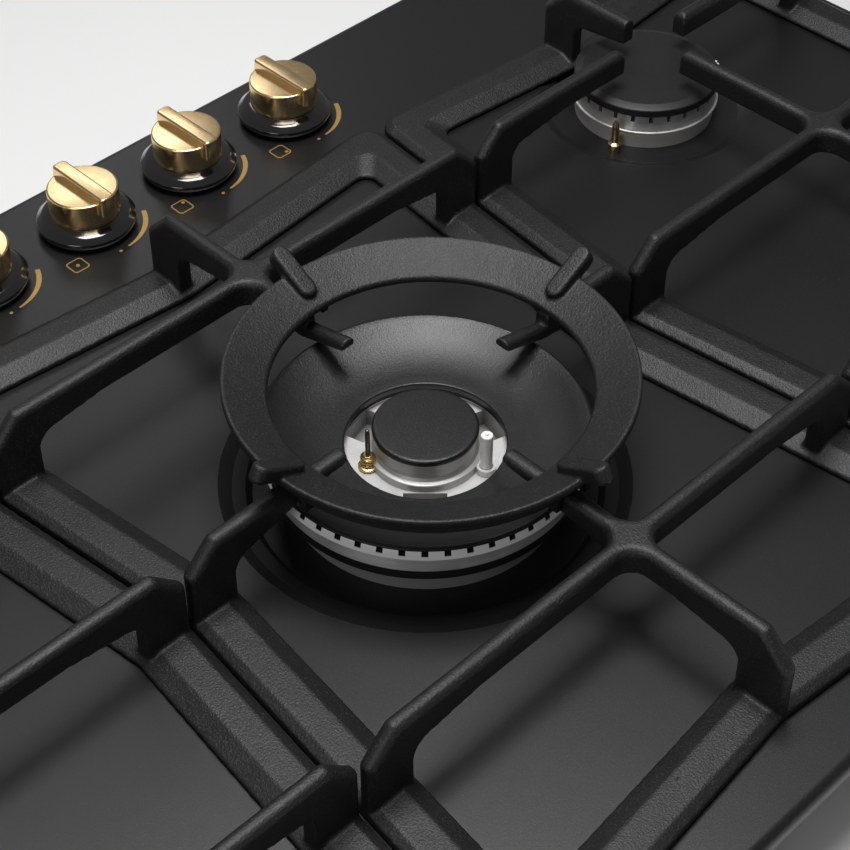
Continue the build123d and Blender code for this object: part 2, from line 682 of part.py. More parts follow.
def side_grate():
    """Right-hand grate over two burners, in the same axes as the centre grate."""
    inner_x = WAIST_X + GRATE_GAP
    outline = bulged(inner_x, OUTER_X, FRONT_Y, REAR_Y, SIDE_X)
    foot = bulged(inner_x + FRAME_W, OUTER_X - FRAME_W, FRONT_Y - FRAME_W, REAR_Y - FRAME_W, SIDE_X)
    flat = FRAME_W - FRAME_SLOPE_W
    inner_top = bulged(inner_x + flat, OUTER_X - flat, FRONT_Y - flat, REAR_Y - flat, SIDE_X)
    frame = frame_ring(outline, foot, inner_top)
    cut = RISER_LEN + 4
    reach_front = inner_x + SIDE_FLARE * SIDE_SPAN
    bars = [(inner_x + cut, 0, OUTER_X - cut, 0)]
    ends = [(inner_x, 0, 180), (OUTER_X, 0, 0), (SIDE_X, -FRONT_Y, 270), (SIDE_X, REAR_Y, 90)]
    for y in (-SIDE_SPAN, SIDE_SPAN):
        bars.append((reach_front + cut, y, SIDE_X - SIDE_TIP_R, y))
        bars.append((SIDE_X + SIDE_TIP_R, y, OUTER_X - cut, y))
        ends.append((reach_front, y, 180))
        ends.append((OUTER_X, y, 0))
    bars.append((SIDE_X, -FRONT_Y + cut, SIDE_X, -SIDE_SPAN - SIDE_TIP_R))
    bars.append((SIDE_X, SIDE_SPAN + SIDE_TIP_R, SIDE_X, REAR_Y - cut))
    bars.append((SIDE_X, -SIDE_SPAN + SIDE_TIP_R, SIDE_X, SIDE_SPAN - SIDE_TIP_R))
    plan = Sketch() + [bar_plan(*bar) for bar in bars]
    crossing = [
        v for v in plan.vertices() if abs(v.X - SIDE_X) < BAR_W and abs(v.Y) < BAR_W
    ]
    plan = fillet(crossing, JUNCTION_R)
    net = Pos(0, 0, GRATE_TOP - BAR_DEPTH) * extrude(plan, BAR_DEPTH)
    net = fillet(net.edges().group_by(Axis.Z)[-1], BAR_ROUND)
    grate = frame + net
    for x, y, angle in ends:
        grate = grate + Pos(x, y, 0) * Rot(0, 0, angle) * riser()
    return grate


def pads(points):
    """Rubber pads between a grate and the hob surface."""
    pad = rod(PAD_R, 0, FRAME_UNDER)
    return Compound(children=[Pos(x, y, 0) * pad for x, y in points])


def inset(points, amount):
    """Pad places just inside the corners of an outline."""
    cx = sum(p[0] for p in points) / len(points)
    cy = sum(p[1] for p in points) / len(points)
    places = []
    for x, y in points:
        length = math.hypot(x - cx, y - cy)
        places.append((x - (x - cx) * amount / length, y - (y - cy) * amount / length))
    return places


# ------------------------------------------------------------------ wok ring

def wok_ring():
    """Cast ring for round-bottomed pans: conical top, ribs on the finger axes, lugs beside the fingers."""
    ring = turned(
        (RING_IN_R, RING_IN_Z, 1.4),
        (RING_R - 0.3, RING_TOP_Z, 1.0),
        (RING_R, RING_TOP_Z - 4, 2.0),
        (RING_FOOT_R + 1.5, GRATE_TOP + 2.5),
        (RING_FOOT_R, GRATE_TOP + SEAT_GAP, 0.8),
        (RING_IN_R + 2, GRATE_TOP + SEAT_GAP),
        (RING_IN_R, GRATE_TOP + 1.6),
    )
    rise = BUMP_OUT_Z - BUMP_IN_Z
    length = BUMP_OUT_R - BUMP_IN_R
    slope = math.degrees(math.atan2(rise, length))
    rib = SlotOverall(math.hypot(length, rise), BUMP_W)
    rib = extrude(rib, -RIB_T)
    rib = fillet(rib.edges().group_by(Axis.Z)[-1], 1.2)
    middle_r = (BUMP_OUT_R + BUMP_IN_R) / 2
    middle_z = (BUMP_OUT_Z + BUMP_IN_Z) / 2
    rib = Pos(middle_r, 0, middle_z) * Rot(0, -slope, 0) * rib
    ear_low = GRATE_TOP - LUG_DROP
    ear_near = BAR_W / 2 + LUG_GAP
    ear = block(RING_IN_R + 6, RING_FOOT_R - 1, ear_near, ear_near + LUG_T, ear_low, GRATE_TOP + 3)
    for angle in (0, 90, 180, 270):
        turn = Rot(0, 0, angle)
        ring = ring + turn * rib
        ring = ring + turn * ear
        ring = ring + turn * mirror(ear, Plane.XZ)
    return ring


# ------------------------------------------------------------------ knobs and gas parts

def knob_skirt():
    """Glossy domed skirt of a knob, just above the hob surface."""
    return turned(
        (STEM_R + SEAT_GAP, SKIRT_LOW),
        (SKIRT_R - 0.8, SKIRT_LOW),
        (SKIRT_R, SKIRT_EDGE_Z, 0.8),
        (SKIRT_R - 3.0, SKIRT_EDGE_Z + 2.6, 3.0),
        (GRIP_R, SKIRT_TOP),
        (STEM_R + SEAT_GAP, SKIRT_TOP),
    )


def knob_grip():
    """Brass upper part: a drum with a grip bar across it that points to the mark."""
    drum = turned((0, SKIRT_TOP), (GRIP_R, SKIRT_TOP), (GRIP_R, GRIP_TOP, 0.8), (0, GRIP_TOP))
    bar = Pos(0, GRIP_BAR_OUT - GRIP_BAR_L / 2, GRIP_BAR_LOW)
    bar = bar * extrude(RectangleRounded(GRIP_BAR_W, GRIP_BAR_L, 2.0), GRIP_BAR_TOP - GRIP_BAR_LOW)
    bar = fillet(bar.edges().group_by(Axis.Z)[-1], 1.6)
    return drum + bar - rod(STEM_R + 0.02, SKIRT_TOP - 1, STEM_TOP + SEAT_GAP)


def tap_stem():
    """Turning stem of a gas tap, from inside the tap up into the knob."""
    return rod(STEM_R, -SHEET - STEM_IN_TAP, STEM_TOP) + rod(STEM_R + 2, -SHEET - 11, -SHEET - 9)


def gas_tap():
    """Tap body screwed under the hob top, with a flange, a magnet housing and a clamp on the manifold."""
    low = -SHEET - TAP_H
    flange = Pos(0, 0, -SHEET - TAP_FLANGE) * extrude(SlotOverall(2 * TAP_R + 16, 2 * TAP_R - 2), TAP_FLANGE)
    tap = flange + rod(TAP_R, low, -SHEET)
    tap = tap + Pos(TAP_R / 2 + 6, 0, MANIFOLD_Z - TOP_Z) * Rot(0, 90, 0) * Cylinder(6, TAP_R + 12)
    tap = tap + block(-7, 7, 0, MANIFOLD_DY, low + 1, low + 20)
    tap = tap - Pos(0, MANIFOLD_DY, MANIFOLD_Z - TOP_Z) * Rot(0, 90, 0) * Cylinder(MANIFOLD_R, 40)
    tap = tap - rod(STEM_R + TAP_BORE_GAP, -SHEET - STEM_IN_TAP - PUSH - 0.5, 0)
    return tap - rod(STEM_R + 2 + SEAT_GAP, -SHEET - 11 - PUSH - 0.5, 0)


def manifold():
    """Gas rail behind the taps, closed at both ends."""
    length = KNOB_PITCH * (KNOBS - 1) + MANIFOLD_SPARE
    rail = Rot(0, 90, 0) * Cylinder(MANIFOLD_R, length)
    return Pos(0, KNOB_Y + MANIFOLD_DY, MANIFOLD_Z) * rail


def gas_inlet():
    """Threaded inlet through the rear wall of the pan, with a hexagon inside."""
    wall = PLATE_D / 2 - PAN_GAP
    thread = INLET_OUT - INLET_RELIEF
    spigot = Pos(INLET_X, wall + INLET_RELIEF + thread / 2, INLET_Z) * Rot(90, 0, 0) * Cylinder(INLET_R, thread)
    neck_length = INLET_RELIEF + INLET_IN
    neck = Pos(INLET_X, wall + INLET_RELIEF - neck_length / 2, INLET_Z) * Rot(90, 0, 0)
    spigot = spigot + neck * Cylinder(INLET_NECK_R, neck_length)
    hexagon = Pos(INLET_X, wall - PAN_SHEET, INLET_Z) * Rot(90, 0, 0) * extrude(RegularPolygon(14, 6), 8)
    bore = Pos(INLET_X, wall + 3, INLET_Z) * Rot(90, 0, 0) * Cylinder(6, 60)
    return spigot + hexagon - bore


def tube(points, bend, radius):
    """Round tube along straight runs with tangent bends."""
    path = FilletPolyline(*points, radius=bend)
    section = Plane(origin=path @ 0, z_dir=path % 0) * Circle(radius)
    return sweep(section, path=path)


def inlet_pipe():
    """Pipe from the inlet to the end of the gas rail."""
    wall = PLATE_D / 2 - PAN_GAP
    rail_end = (KNOB_PITCH * (KNOBS - 1) + MANIFOLD_SPARE) / 2
    rail_y = KNOB_Y + MANIFOLD_DY
    points = [
        (INLET_X, wall - INLET_IN, INLET_Z),
        (INLET_X, wall - PIPE_LEAD, INLET_Z),
        (INLET_X + PIPE_AROUND, wall - PIPE_LEAD - PIPE_AROUND, PIPE_Z),
        (INLET_X + PIPE_AROUND, rail_y + PIPE_LEAD, PIPE_Z),
        (INLET_X, rail_y, MANIFOLD_Z),
        (rail_end, rail_y, MANIFOLD_Z),
    ]
    return tube(points, PIPE_BEND, PIPE_R)


def spark_unit():
    """Spark generator on the pan floor, with terminal posts."""
    case = Pos(SPARK_X, SPARK_Y, PAN_SHEET) * extrude(RectangleRounded(SPARK_W, SPARK_D, 3), SPARK_H)
    post = rod(POST_R, PAN_SHEET + SPARK_H - 6, PAN_SHEET + SPARK_H + 6)
    posts = [Pos(SPARK_X + POST_PITCH * i, SPARK_Y, 0) * post for i in range(-2, 3)]
    return case + posts


def main():
    os.makedirs("parts", exist_ok=True)
    write("hob_top", hob_top())
    write("bottom_pan", bottom_pan())
    write("worktop_seal", worktop_seal())
    write("fixing_clamps", at_clamps(clamp()))
    write("clamp_screws", at_clamps(clamp_screw()))

    wok = Pos(WOK_X, WOK_Y, TOP_Z)
    write("wok_burner_cup", wok * wok_cup())
    write("wok_burner_crown", wok * wok_crown())
    write("wok_dish_cap", wok * wok_dish_cap())
    write("wok_inner_crown", wok * wok_inner_crown())
    write("wok_inner_cap", wok * wok_inner_cap())
    write("wok_igniter", wok * Pos(*IGNITER_AT) * igniter(INNER_FLOOR_Z - 6))
    write("wok_thermocouple", wok * Pos(*PROBE_AT) * thermocouple(INNER_FLOOR_Z - 6))

    for name, (x, y, radius) in OUTER_BURNERS.items():
        place = Pos(x, y, TOP_Z)
        write(f"burner_cup_{name}", place * side_cup(radius))
        write(f"flame_spreader_{name}", place * side_spreader(radius))
        write(f"burner_cap_{name}", place * side_cap(radius))
    write("igniters", at_outer_burners(side_igniter(), 160))
    write("thermocouples", at_outer_burners(side_probe(), 20))

    seat = Pos(0, GRATE_Y, TOP_Z)
    right = side_grate()
    outline = waisted(WAIST_X, FRONT_Y, REAR_Y)
    side_outline = bulged(WAIST_X + GRATE_GAP, OUTER_X, FRONT_Y, REAR_Y, SIDE_X)
    feet = inset([p for p in side_outline if p[0] != SIDE_X], 13)
    write("centre_grate", seat * centre_grate())
    write("right_grate", seat * right)
    write("left_grate", seat * mirror(right, Plane.YZ))
    write("centre_grate_pads", seat * pads(inset([p for p in outline if p[0] != 0], 13)))
    write("right_grate_pads", seat * pads(feet))
    write("left_grate_pads", seat * mirror(pads(feet), Plane.YZ))
    write("wok_ring", Pos(RING_X, RING_Y, TOP_Z) * wok_ring())

    taps = []
    for number, x in enumerate(KNOB_X, 1):
        place = Pos(x, KNOB_Y, TOP_Z)
        write(f"knob_skirt_{number}", place * knob_skirt())
        write(f"knob_grip_{number}", place * knob_grip())
        write(f"tap_stem_{number}", place * tap_stem())
        taps.append(place * gas_tap())
    write("gas_taps", Compound(children=taps))
    write("gas_manifold", manifold())
    write("gas_inlet", gas_inlet())
    write("inlet_pipe", inlet_pipe())
    write("spark_unit", spark_unit())


main()
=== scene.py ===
import math

import bmesh
import bpy
from mathutils import Matrix, Vector, noise


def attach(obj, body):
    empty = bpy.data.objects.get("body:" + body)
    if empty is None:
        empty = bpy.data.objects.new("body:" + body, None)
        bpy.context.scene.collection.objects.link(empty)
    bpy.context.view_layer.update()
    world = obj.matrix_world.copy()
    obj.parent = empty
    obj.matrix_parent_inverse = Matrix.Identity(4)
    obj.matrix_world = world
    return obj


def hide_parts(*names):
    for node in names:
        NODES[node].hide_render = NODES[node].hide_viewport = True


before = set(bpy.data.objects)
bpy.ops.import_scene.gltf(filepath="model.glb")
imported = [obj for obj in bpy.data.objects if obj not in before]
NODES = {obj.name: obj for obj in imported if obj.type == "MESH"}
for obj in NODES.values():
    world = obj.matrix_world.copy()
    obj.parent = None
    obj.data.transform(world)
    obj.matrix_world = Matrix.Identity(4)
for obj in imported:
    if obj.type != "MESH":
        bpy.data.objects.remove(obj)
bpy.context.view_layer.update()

# Looks of a built-in gas hob: cast grates, enamelled top, turned burners, brass knobs.
# Metres throughout; profiles and places are written in millimetres and scaled by MM.
# Noise scales count per metre. Heights in profiles are above the hob surface.

MM = 0.001

SURFACE = 60.0               # hob surface above the pan's underside
WOK = (3.0, 30.0)            # axis of the wok burner
WOK_CENTRE = (*WOK, SURFACE)
KNOB_PITCH = 67.2
KNOB_Y = -216.3
KNOB_COUNT = 5
TOOTH_R = 72.6               # foot of the wok burner's teeth
TOOTH_Z = 24.6
TOOTH_LEAN = 0.36            # slope of their outer face
WELD = 0.0004                # points nearer than this, in mm, are one
OUTER_BURNERS = {            # axis and radius
    "front_left": (-282.0, -87.3, 37.5),
    "rear_left": (-282.0, 140.7, 50.0),
    "front_right": (282.0, -87.3, 27.5),
    "rear_right": (282.0, 140.7, 37.5),
}


# ---- node trees

def socket(tree, name, kind, default=None, out=False):
    """Adds one named socket to a group's interface."""
    way = "OUTPUT" if out else "INPUT"
    item = tree.interface.new_socket(name=name, in_out=way, socket_type=kind)
    if default is not None:
        item.default_value = default


def node(tree, kind, values=None, **settings):
    """Adds a node; settings are its properties, values its unlinked inputs by name or number."""
    made = tree.nodes.new(kind)
    for key, value in settings.items():
        setattr(made, key, value)
    for key, value in (values or {}).items():
        made.inputs[key].default_value = value
    return made


def maths(tree, operation, first, second=0.5, third=None, clamp=False):
    """Maths node from links or plain numbers; returns its output."""
    made = tree.nodes.new("ShaderNodeMath")
    made.operation = operation
    made.use_clamp = clamp
    for place, value in enumerate((first, second, third)):
        if value is None:
            continue
        if isinstance(value, (int, float)):
            made.inputs[place].default_value = value
        else:
            tree.links.new(value, made.inputs[place])
    return made.outputs[0]


def spread(tree, value, low, high, to_low, to_high):
    """Maps a value from one range to another, clamped."""
    made = node(tree, "ShaderNodeMapRange",
                {"From Min": low, "From Max": high, "To Min": to_low, "To Max": to_high})
    tree.links.new(value, made.inputs["Value"])
    return made.outputs["Result"]


def from_axis(tree, place):
    """Distance of coordinates from the upright axis, and the coordinates taken apart."""
    apart = tree.nodes.new("ShaderNodeSeparateXYZ")
    tree.links.new(place, apart.inputs[0])
    x, y, z = apart.outputs
    square = maths(tree, "ADD", maths(tree, "MULTIPLY", x, x), maths(tree, "MULTIPLY", y, y))
    return maths(tree, "SQRT", square), (x, y, z)


def group(name):
    """Empty shader group with its input and output nodes."""
    tree = bpy.data.node_groups.new(name, "ShaderNodeTree")
    return tree, tree.nodes.new("NodeGroupInput"), tree.nodes.new("NodeGroupOutput")


def make_sandy_grain():
    """Fine pimpled grain of castings and enamel: a height and a mask of its brightest grains."""
    tree, enter, leave = group("sandy_grain")
    socket(tree, "Vector", "NodeSocketVector")
    socket(tree, "Grain", "NodeSocketFloat", 1300.0)
    socket(tree, "Coarse", "NodeSocketFloat", 0.3)
    socket(tree, "Height", "NodeSocketFloat", out=True)
    socket(tree, "Specks", "NodeSocketFloat", out=True)
    fine = node(tree, "ShaderNodeTexNoise", {"Detail": 3.0, "Roughness": 0.6})
    pits = node(tree, "ShaderNodeTexVoronoi", {"Randomness": 1.0}, feature="F1")
    tree.links.new(enter.outputs["Vector"], fine.inputs["Vector"])
    tree.links.new(enter.outputs["Vector"], pits.inputs["Vector"])
    tree.links.new(enter.outputs["Grain"], fine.inputs["Scale"])
    tree.links.new(maths(tree, "MULTIPLY", enter.outputs["Grain"], 0.55), pits.inputs["Scale"])
    lumps = maths(tree, "SUBTRACT", 1.0, pits.outputs["Distance"])
    rough = maths(tree, "MULTIPLY", lumps, enter.outputs["Coarse"])
    tree.links.new(maths(tree, "ADD", fine.outputs["Fac"], rough), leave.inputs["Height"])
    tree.links.new(spread(tree, fine.outputs["Fac"], 0.58, 0.74, 0.0, 1.0), leave.inputs["Specks"])
    return tree


def make_edge_wear_and_highlight():
    """Mask of convex edges, for rubbed wear and a painted highlight, broken up by noise."""
    tree, enter, leave = group("edge_wear_and_highlight")
    socket(tree, "Vector", "NodeSocketVector")
    socket(tree, "Start", "NodeSocketFloat", 0.52)
    socket(tree, "Amount", "NodeSocketFloat", 0.5)
    socket(tree, "Mask", "NodeSocketFloat", out=True)
    shape = tree.nodes.new("ShaderNodeNewGeometry")
    patchy = node(tree, "ShaderNodeTexNoise", {"Scale": 220.0, "Detail": 4.0})
    tree.links.new(enter.outputs["Vector"], patchy.inputs["Vector"])
    over = maths(tree, "SUBTRACT", shape.outputs["Pointiness"], enter.outputs["Start"])
    edge = maths(tree, "MULTIPLY", over, 14.0, clamp=True)
    patches = spread(tree, patchy.outputs["Fac"], 0.35, 0.65, 0.2, 1.0)
    broken = maths(tree, "MULTIPLY", edge, patches)
    mask = maths(tree, "MULTIPLY", broken, enter.outputs["Amount"], clamp=True)
    tree.links.new(mask, leave.inputs["Mask"])
    return tree


def make_smudges():
    """Slow uneven sheen, as of wiped enamel: a value round 0 from -0.5 to 0.5."""
    tree, enter, leave = group("smudges")
    socket(tree, "Vector", "NodeSocketVector")
    socket(tree, "Size", "NodeSocketFloat", 9.0)
    socket(tree, "Sheen", "NodeSocketFloat", out=True)
    slow = node(tree, "ShaderNodeTexNoise", {"Detail": 5.0, "Roughness": 0.55, "Distortion": 0.4})
    tree.links.new(enter.outputs["Vector"], slow.inputs["Vector"])
    tree.links.new(enter.outputs["Size"], slow.inputs["Scale"])
    tree.links.new(maths(tree, "SUBTRACT", slow.outputs["Fac"], 0.5), leave.inputs["Sheen"])
    return tree


def make_turned_lines():
    """Fine tool lines round an upright axis at the vector's origin: a height, and a streak mask."""
    tree, enter, leave = group("turned_lines")
    socket(tree, "Vector", "NodeSocketVector")
    socket(tree, "Lines", "NodeSocketFloat", 2200.0)
    socket(tree, "Height", "NodeSocketFloat", out=True)
    socket(tree, "Streaks", "NodeSocketFloat", out=True)
    reach, (x, y, z) = from_axis(tree, enter.outputs["Vector"])
    around = maths(tree, "ARCTAN2", y, x)
    join = tree.nodes.new("ShaderNodeCombineXYZ")
    tree.links.new(maths(tree, "MULTIPLY", reach, enter.outputs["Lines"]), join.inputs[0])
    tree.links.new(maths(tree, "MULTIPLY", z, enter.outputs["Lines"]), join.inputs[1])
    tree.links.new(maths(tree, "MULTIPLY", around, 1.6), join.inputs[2])
    lines = node(tree, "ShaderNodeTexNoise", {"Scale": 1.0, "Detail": 3.0, "Roughness": 0.7})
    tree.links.new(join.outputs[0], lines.inputs["Vector"])
    streaks = spread(tree, lines.outputs["Fac"], 0.35, 0.68, 0.0, 1.0)
    tree.links.new(lines.outputs["Fac"], leave.inputs["Height"])
    tree.links.new(streaks, leave.inputs["Streaks"])
    return tree


SANDY_GRAIN = make_sandy_grain()
EDGE_WEAR_AND_HIGHLIGHT = make_edge_wear_and_highlight()
SMUDGES = make_smudges()
TURNED_LINES = make_turned_lines()


# ---- finishes

MIX_FIRST, MIX_SECOND, MIX_RESULT = 6, 7, 2      # colour sockets of a Mix node


class Finish:
    """A material in the making: one Principled shader, object coordinates and the shared groups."""

    def __init__(self, name, colour, roughness, metallic=0.0, centre=(0, 0, 0), **fixed):
        self.material = bpy.data.materials.new(name)
        self.material.use_nodes = True
        self.material.diffuse_color = (*colour, 1)
        self.tree = self.material.node_tree
        self.shader = self.tree.nodes["Principled BSDF"]
        self.shader.inputs["Base Color"].default_value = (*colour, 1)
        self.shader.inputs["Roughness"].default_value = roughness
        self.shader.inputs["Metallic"].default_value = metallic
        for key, value in fixed.items():
            self.shader.inputs[key.replace("_", " ")].default_value = value
        where = self.tree.nodes.new("ShaderNodeTexCoord")
        move = node(self.tree, "ShaderNodeMapping", vector_type="TEXTURE")
        move.inputs["Location"].default_value = tuple(c * MM for c in centre)
        self.link(where.outputs["Object"], move.inputs["Vector"])
        self.place = move.outputs[0]
        self.relief = None

    def link(self, start, end):
        """Links two sockets of this material."""
        self.tree.links.new(start, end)

    def group(self, shared, **values):
        """Places a shared group on this material's coordinates."""
        made = node(self.tree, "ShaderNodeGroup", node_tree=shared)
        self.link(self.place, made.inputs["Vector"])
        for key, value in values.items():
            made.inputs[key].default_value = value
        return made.outputs

    def mix(self, mask, first, second):
        """Colour between two colours (or colour links) by a mask."""
        made = node(self.tree, "ShaderNodeMix", data_type="RGBA")
        self.link(mask, made.inputs[0])
        for place, value in ((MIX_FIRST, first), (MIX_SECOND, second)):
            if isinstance(value, tuple):
                made.inputs[place].default_value = (*value, 1)
            else:
                self.link(value, made.inputs[place])
        return made.outputs[MIX_RESULT]

    def colour(self, source):
        """Drives the base colour."""
        self.link(source, self.shader.inputs["Base Color"])

    def roughness(self, source):
        """Drives the roughness."""
        self.link(source, self.shader.inputs["Roughness"])

    def bump(self, height, strength, depth):
        """One more layer of relief, depth in mm, on top of the layers before it."""
        made = node(self.tree, "ShaderNodeBump", {"Strength": strength, "Distance": depth * MM})
        self.link(height, made.inputs["Height"])
        if self.relief:
            self.link(self.relief, made.inputs["Normal"])
        self.relief = made.outputs[0]
        self.link(self.relief, self.shader.inputs["Normal"])

    def noise(self, scale, detail):
        """Plain noise on this material's coordinates."""
        made = node(self.tree, "ShaderNodeTexNoise", {"Scale": scale, "Detail": detail})
        self.link(self.place, made.inputs["Vector"])
        return made.outputs["Fac"]

    def drawn_lines(self, stretch, detail):
        """Noise drawn out along the axis where stretch is least."""
        longer = node(self.tree, "ShaderNodeMapping", {"Scale": stretch})
        self.link(self.place, longer.inputs["Vector"])
        made = node(self.tree, "ShaderNodeTexNoise", {"Scale": 1.0, "Detail": detail})
        self.link(longer.outputs[0], made.inputs["Vector"])
        return made.outputs["Fac"]

    def maths(self, operation, first, second=0.5, third=None):
        """Maths on this material's values."""
        return maths(self.tree, operation, first, second, third)

    def spread(self, value, low, high, to_low, to_high):
        """Maps one of this material's values to another range, clamped."""
        return spread(self.tree, value, low, high, to_low, to_high)


def cast_iron(name, relief, sheen):
    """Matt black enamelled cast iron: sandy grain, edges lighter partly from rubbed wear and partly
    as a painted highlight, slightly uneven sheen.
    """
    f = Finish(name, (0.009, 0.009, 0.0093), sheen)
    sand = f.group(SANDY_GRAIN, Grain=1500.0, Coarse=0.5)
    wear_and_highlight = f.group(EDGE_WEAR_AND_HIGHLIGHT, Start=0.53, Amount=0.4)
    sheen_patches = f.group(SMUDGES, Size=26.0)
    base = f.mix(sand["Specks"], (0.0045, 0.0045, 0.0047), (0.075, 0.075, 0.076))
    # edges painted lighter: partly rubbed wear, partly a painted highlight of the light on them
    f.colour(f.mix(wear_and_highlight["Mask"], base, (0.055, 0.0545, 0.054)))
    f.roughness(f.maths("MULTIPLY_ADD", sheen_patches["Sheen"], 0.16, sheen))
    f.bump(sheen_patches["Sheen"], 0.2, 1.2)
    f.bump(sand["Height"], relief, 0.3)
    return f.material


def black_enamel(name, centre=(0, 0, 0), grain=1500.0, relief=0.3, sheen=0.36):
    """Satin black vitreous enamel on steel."""
    base = (0.0065, 0.0065, 0.0068)
    f = Finish(name, base, sheen, centre=centre)
    sand = f.group(SANDY_GRAIN, Grain=grain, Coarse=0.15)
    wipes = f.group(SMUDGES, Size=7.0)
    light = tuple(c * 4.5 for c in base)
    f.colour(f.mix(sand["Specks"], base, light))
    f.roughness(f.maths("MULTIPLY_ADD", wipes["Sheen"], 0.12, sheen))
    f.bump(sand["Height"], relief, 0.2)
    return f.material


def turned_aluminium(name, centre, bright=(0.72, 0.715, 0.70), dull=(0.52, 0.515, 0.505),
                     sheen=0.34, metal=0.85):
    """Turned burner aluminium with fine lines round its axis and dull patches of tarnish."""
    f = Finish(name, bright, sheen, metallic=metal, centre=centre)
    cut = f.group(TURNED_LINES, Lines=2200.0)
    tarnish = f.group(SMUDGES, Size=45.0)
    tone = f.mix(cut["Streaks"], dull, bright)
    f.colour(f.mix(f.spread(tarnish["Sheen"], -0.05, 0.35, 0.0, 0.5), tone, dull))
    f.roughness(f.maths("MULTIPLY_ADD", cut["Streaks"], -0.1, sheen + 0.06))
    f.bump(cut["Height"], 0.4, 0.12)
    return f.material


def flame_ring_metal(name, centre):
    """Bright turned teeth of the wok burner's flame ring, with painted shade black down in the
    slots.
    """
    f = Finish(name, (0.92, 0.91, 0.89), 0.42, metallic=0.1, centre=centre)
    reach, (_, _, z) = from_axis(f.tree, f.place)
    face = f.maths("MULTIPLY_ADD", z, TOOTH_LEAN, reach)
    outermost = TOOTH_R + TOOTH_Z * TOOTH_LEAN       # of any tooth's face, in the same measure
    # painted shade: black wherever the metal lies inward of the teeth's faces, down in the slots
    slot_shade = f.spread(face, (outermost - 0.45) * MM, (outermost - 0.1) * MM, 1.0, 0.0)
    cut = f.group(TURNED_LINES, Lines=2200.0)
    bright = f.mix(cut["Streaks"], (0.90, 0.89, 0.87), (0.97, 0.965, 0.95))
    f.colour(f.mix(slot_shade, bright, (0.012, 0.011, 0.010)))
    f.roughness(f.maths("MULTIPLY_ADD", slot_shade, 0.3, 0.42))
    f.bump(cut["Height"], 0.3, 0.1)
    return f.material


def cast_aluminium(name, centre):
    """Die-cast cup of a side burner: softly grained, stained dull in patches."""
    f = Finish(name, (0.66, 0.65, 0.63), 0.5, metallic=0.6, centre=centre)
    sand = f.group(SANDY_GRAIN, Grain=1100.0, Coarse=0.4)
    stain = f.group(SMUDGES, Size=60.0)
    tone = f.mix(sand["Specks"], (0.62, 0.61, 0.59), (0.80, 0.79, 0.77))
    f.colour(f.mix(f.spread(stain["Sheen"], 0.0, 0.3, 0.0, 0.6), tone, (0.42, 0.41, 0.39)))
    f.roughness(f.maths("MULTIPLY_ADD", stain["Sheen"], 0.2, 0.5))
    f.bump(sand["Height"], 0.4, 0.12)
    return f.material


def burner_casting(name, centre):
    """Wok burner's body as cast: softly grained floor inside, painted shade darkening the recesses,
    black outside.
    """
    wall_r = 70.0
    f = Finish(name, (0.62, 0.61, 0.59), 0.45, metallic=0.5, centre=centre)
    reach, (_, _, z) = from_axis(f.tree, f.place)
    outside = f.spread(reach, (wall_r - 1.0) * MM, (wall_r - 0.6) * MM, 0.0, 1.0)
    # painted shade: the floor darker low down in its recesses
    recess_shade = f.spread(z, 8.0 * MM, 16.5 * MM, 1.0, 0.0)
    sand = f.group(SANDY_GRAIN, Grain=1300.0, Coarse=0.5)
    stain = f.group(SMUDGES, Size=70.0)
    floor = f.mix(sand["Specks"], (0.74, 0.735, 0.72), (0.94, 0.93, 0.91))
    floor = f.mix(f.spread(stain["Sheen"], -0.05, 0.25, 0.0, 0.6), floor, (0.46, 0.455, 0.445))
    # painted shade in the recesses
    floor = f.mix(recess_shade, floor, (0.26, 0.258, 0.25))
    f.colour(f.mix(outside, floor, (0.006, 0.006, 0.006)))
    f.link(f.maths("MULTIPLY_ADD", outside, -0.2, 0.2), f.shader.inputs["Metallic"])
    f.roughness(f.maths("MULTIPLY_ADD", stain["Sheen"], 0.2, 0.42))
    f.bump(sand["Height"], 0.5, 0.15)
    return f.material


def brushed_band(name, centre):
    """Brushed wall of the burner body: grooves round the axis draw the light out up and down."""
    f = Finish(name, (0.78, 0.775, 0.765), 0.34, metallic=0.6, centre=centre,
               Anisotropic=0.85, Anisotropic_Rotation=0.25)
    cut = f.group(TURNED_LINES, Lines=2600.0)
    stain = f.group(SMUDGES, Size=55.0)
    tone = f.mix(cut["Streaks"], (0.62, 0.615, 0.61), (0.90, 0.895, 0.885))
    f.colour(f.mix(f.spread(stain["Sheen"], 0.0, 0.3, 0.0, 0.4), tone, (0.34, 0.335, 0.32)))
    f.roughness(f.maths("MULTIPLY_ADD", cut["Streaks"], -0.08, 0.36))
    f.bump(cut["Height"], 0.2, 0.05)
    return f.material


def polished_brass(name, centre):
    """Satin-polished brass knob: fine turned lines, faint fingermarks."""
    f = Finish(name, (0.90, 0.67, 0.38), 0.22, metallic=1.0, centre=centre)
    cut = f.group(TURNED_LINES, Lines=3200.0)
    marks = f.group(SMUDGES, Size=70.0)
    f.colour(f.mix(cut["Streaks"], (0.86, 0.61, 0.31), (0.95, 0.73, 0.44)))
    f.roughness(f.maths("MULTIPLY_ADD", marks["Sheen"], 0.25, 0.24))
    f.bump(cut["Height"], 0.12, 0.03)
    return f.material


def brass_fitting(name, colour=(0.66, 0.47, 0.19)):
    """Machined brass of nuts, taps and fittings, darkened in patches."""
    f = Finish(name, colour, 0.3, metallic=1.0)
    sand = f.group(SANDY_GRAIN, Grain=900.0, Coarse=0.3)
    stain = f.group(SMUDGES, Size=90.0)
    dark = tuple(c * 0.55 for c in colour)
    f.colour(f.mix(f.spread(stain["Sheen"], -0.1, 0.3, 0.0, 0.7), colour, dark))
    f.roughness(f.maths("MULTIPLY_ADD", sand["Specks"], 0.2, 0.26))
    f.bump(sand["Height"], 0.25, 0.05)
    return f.material


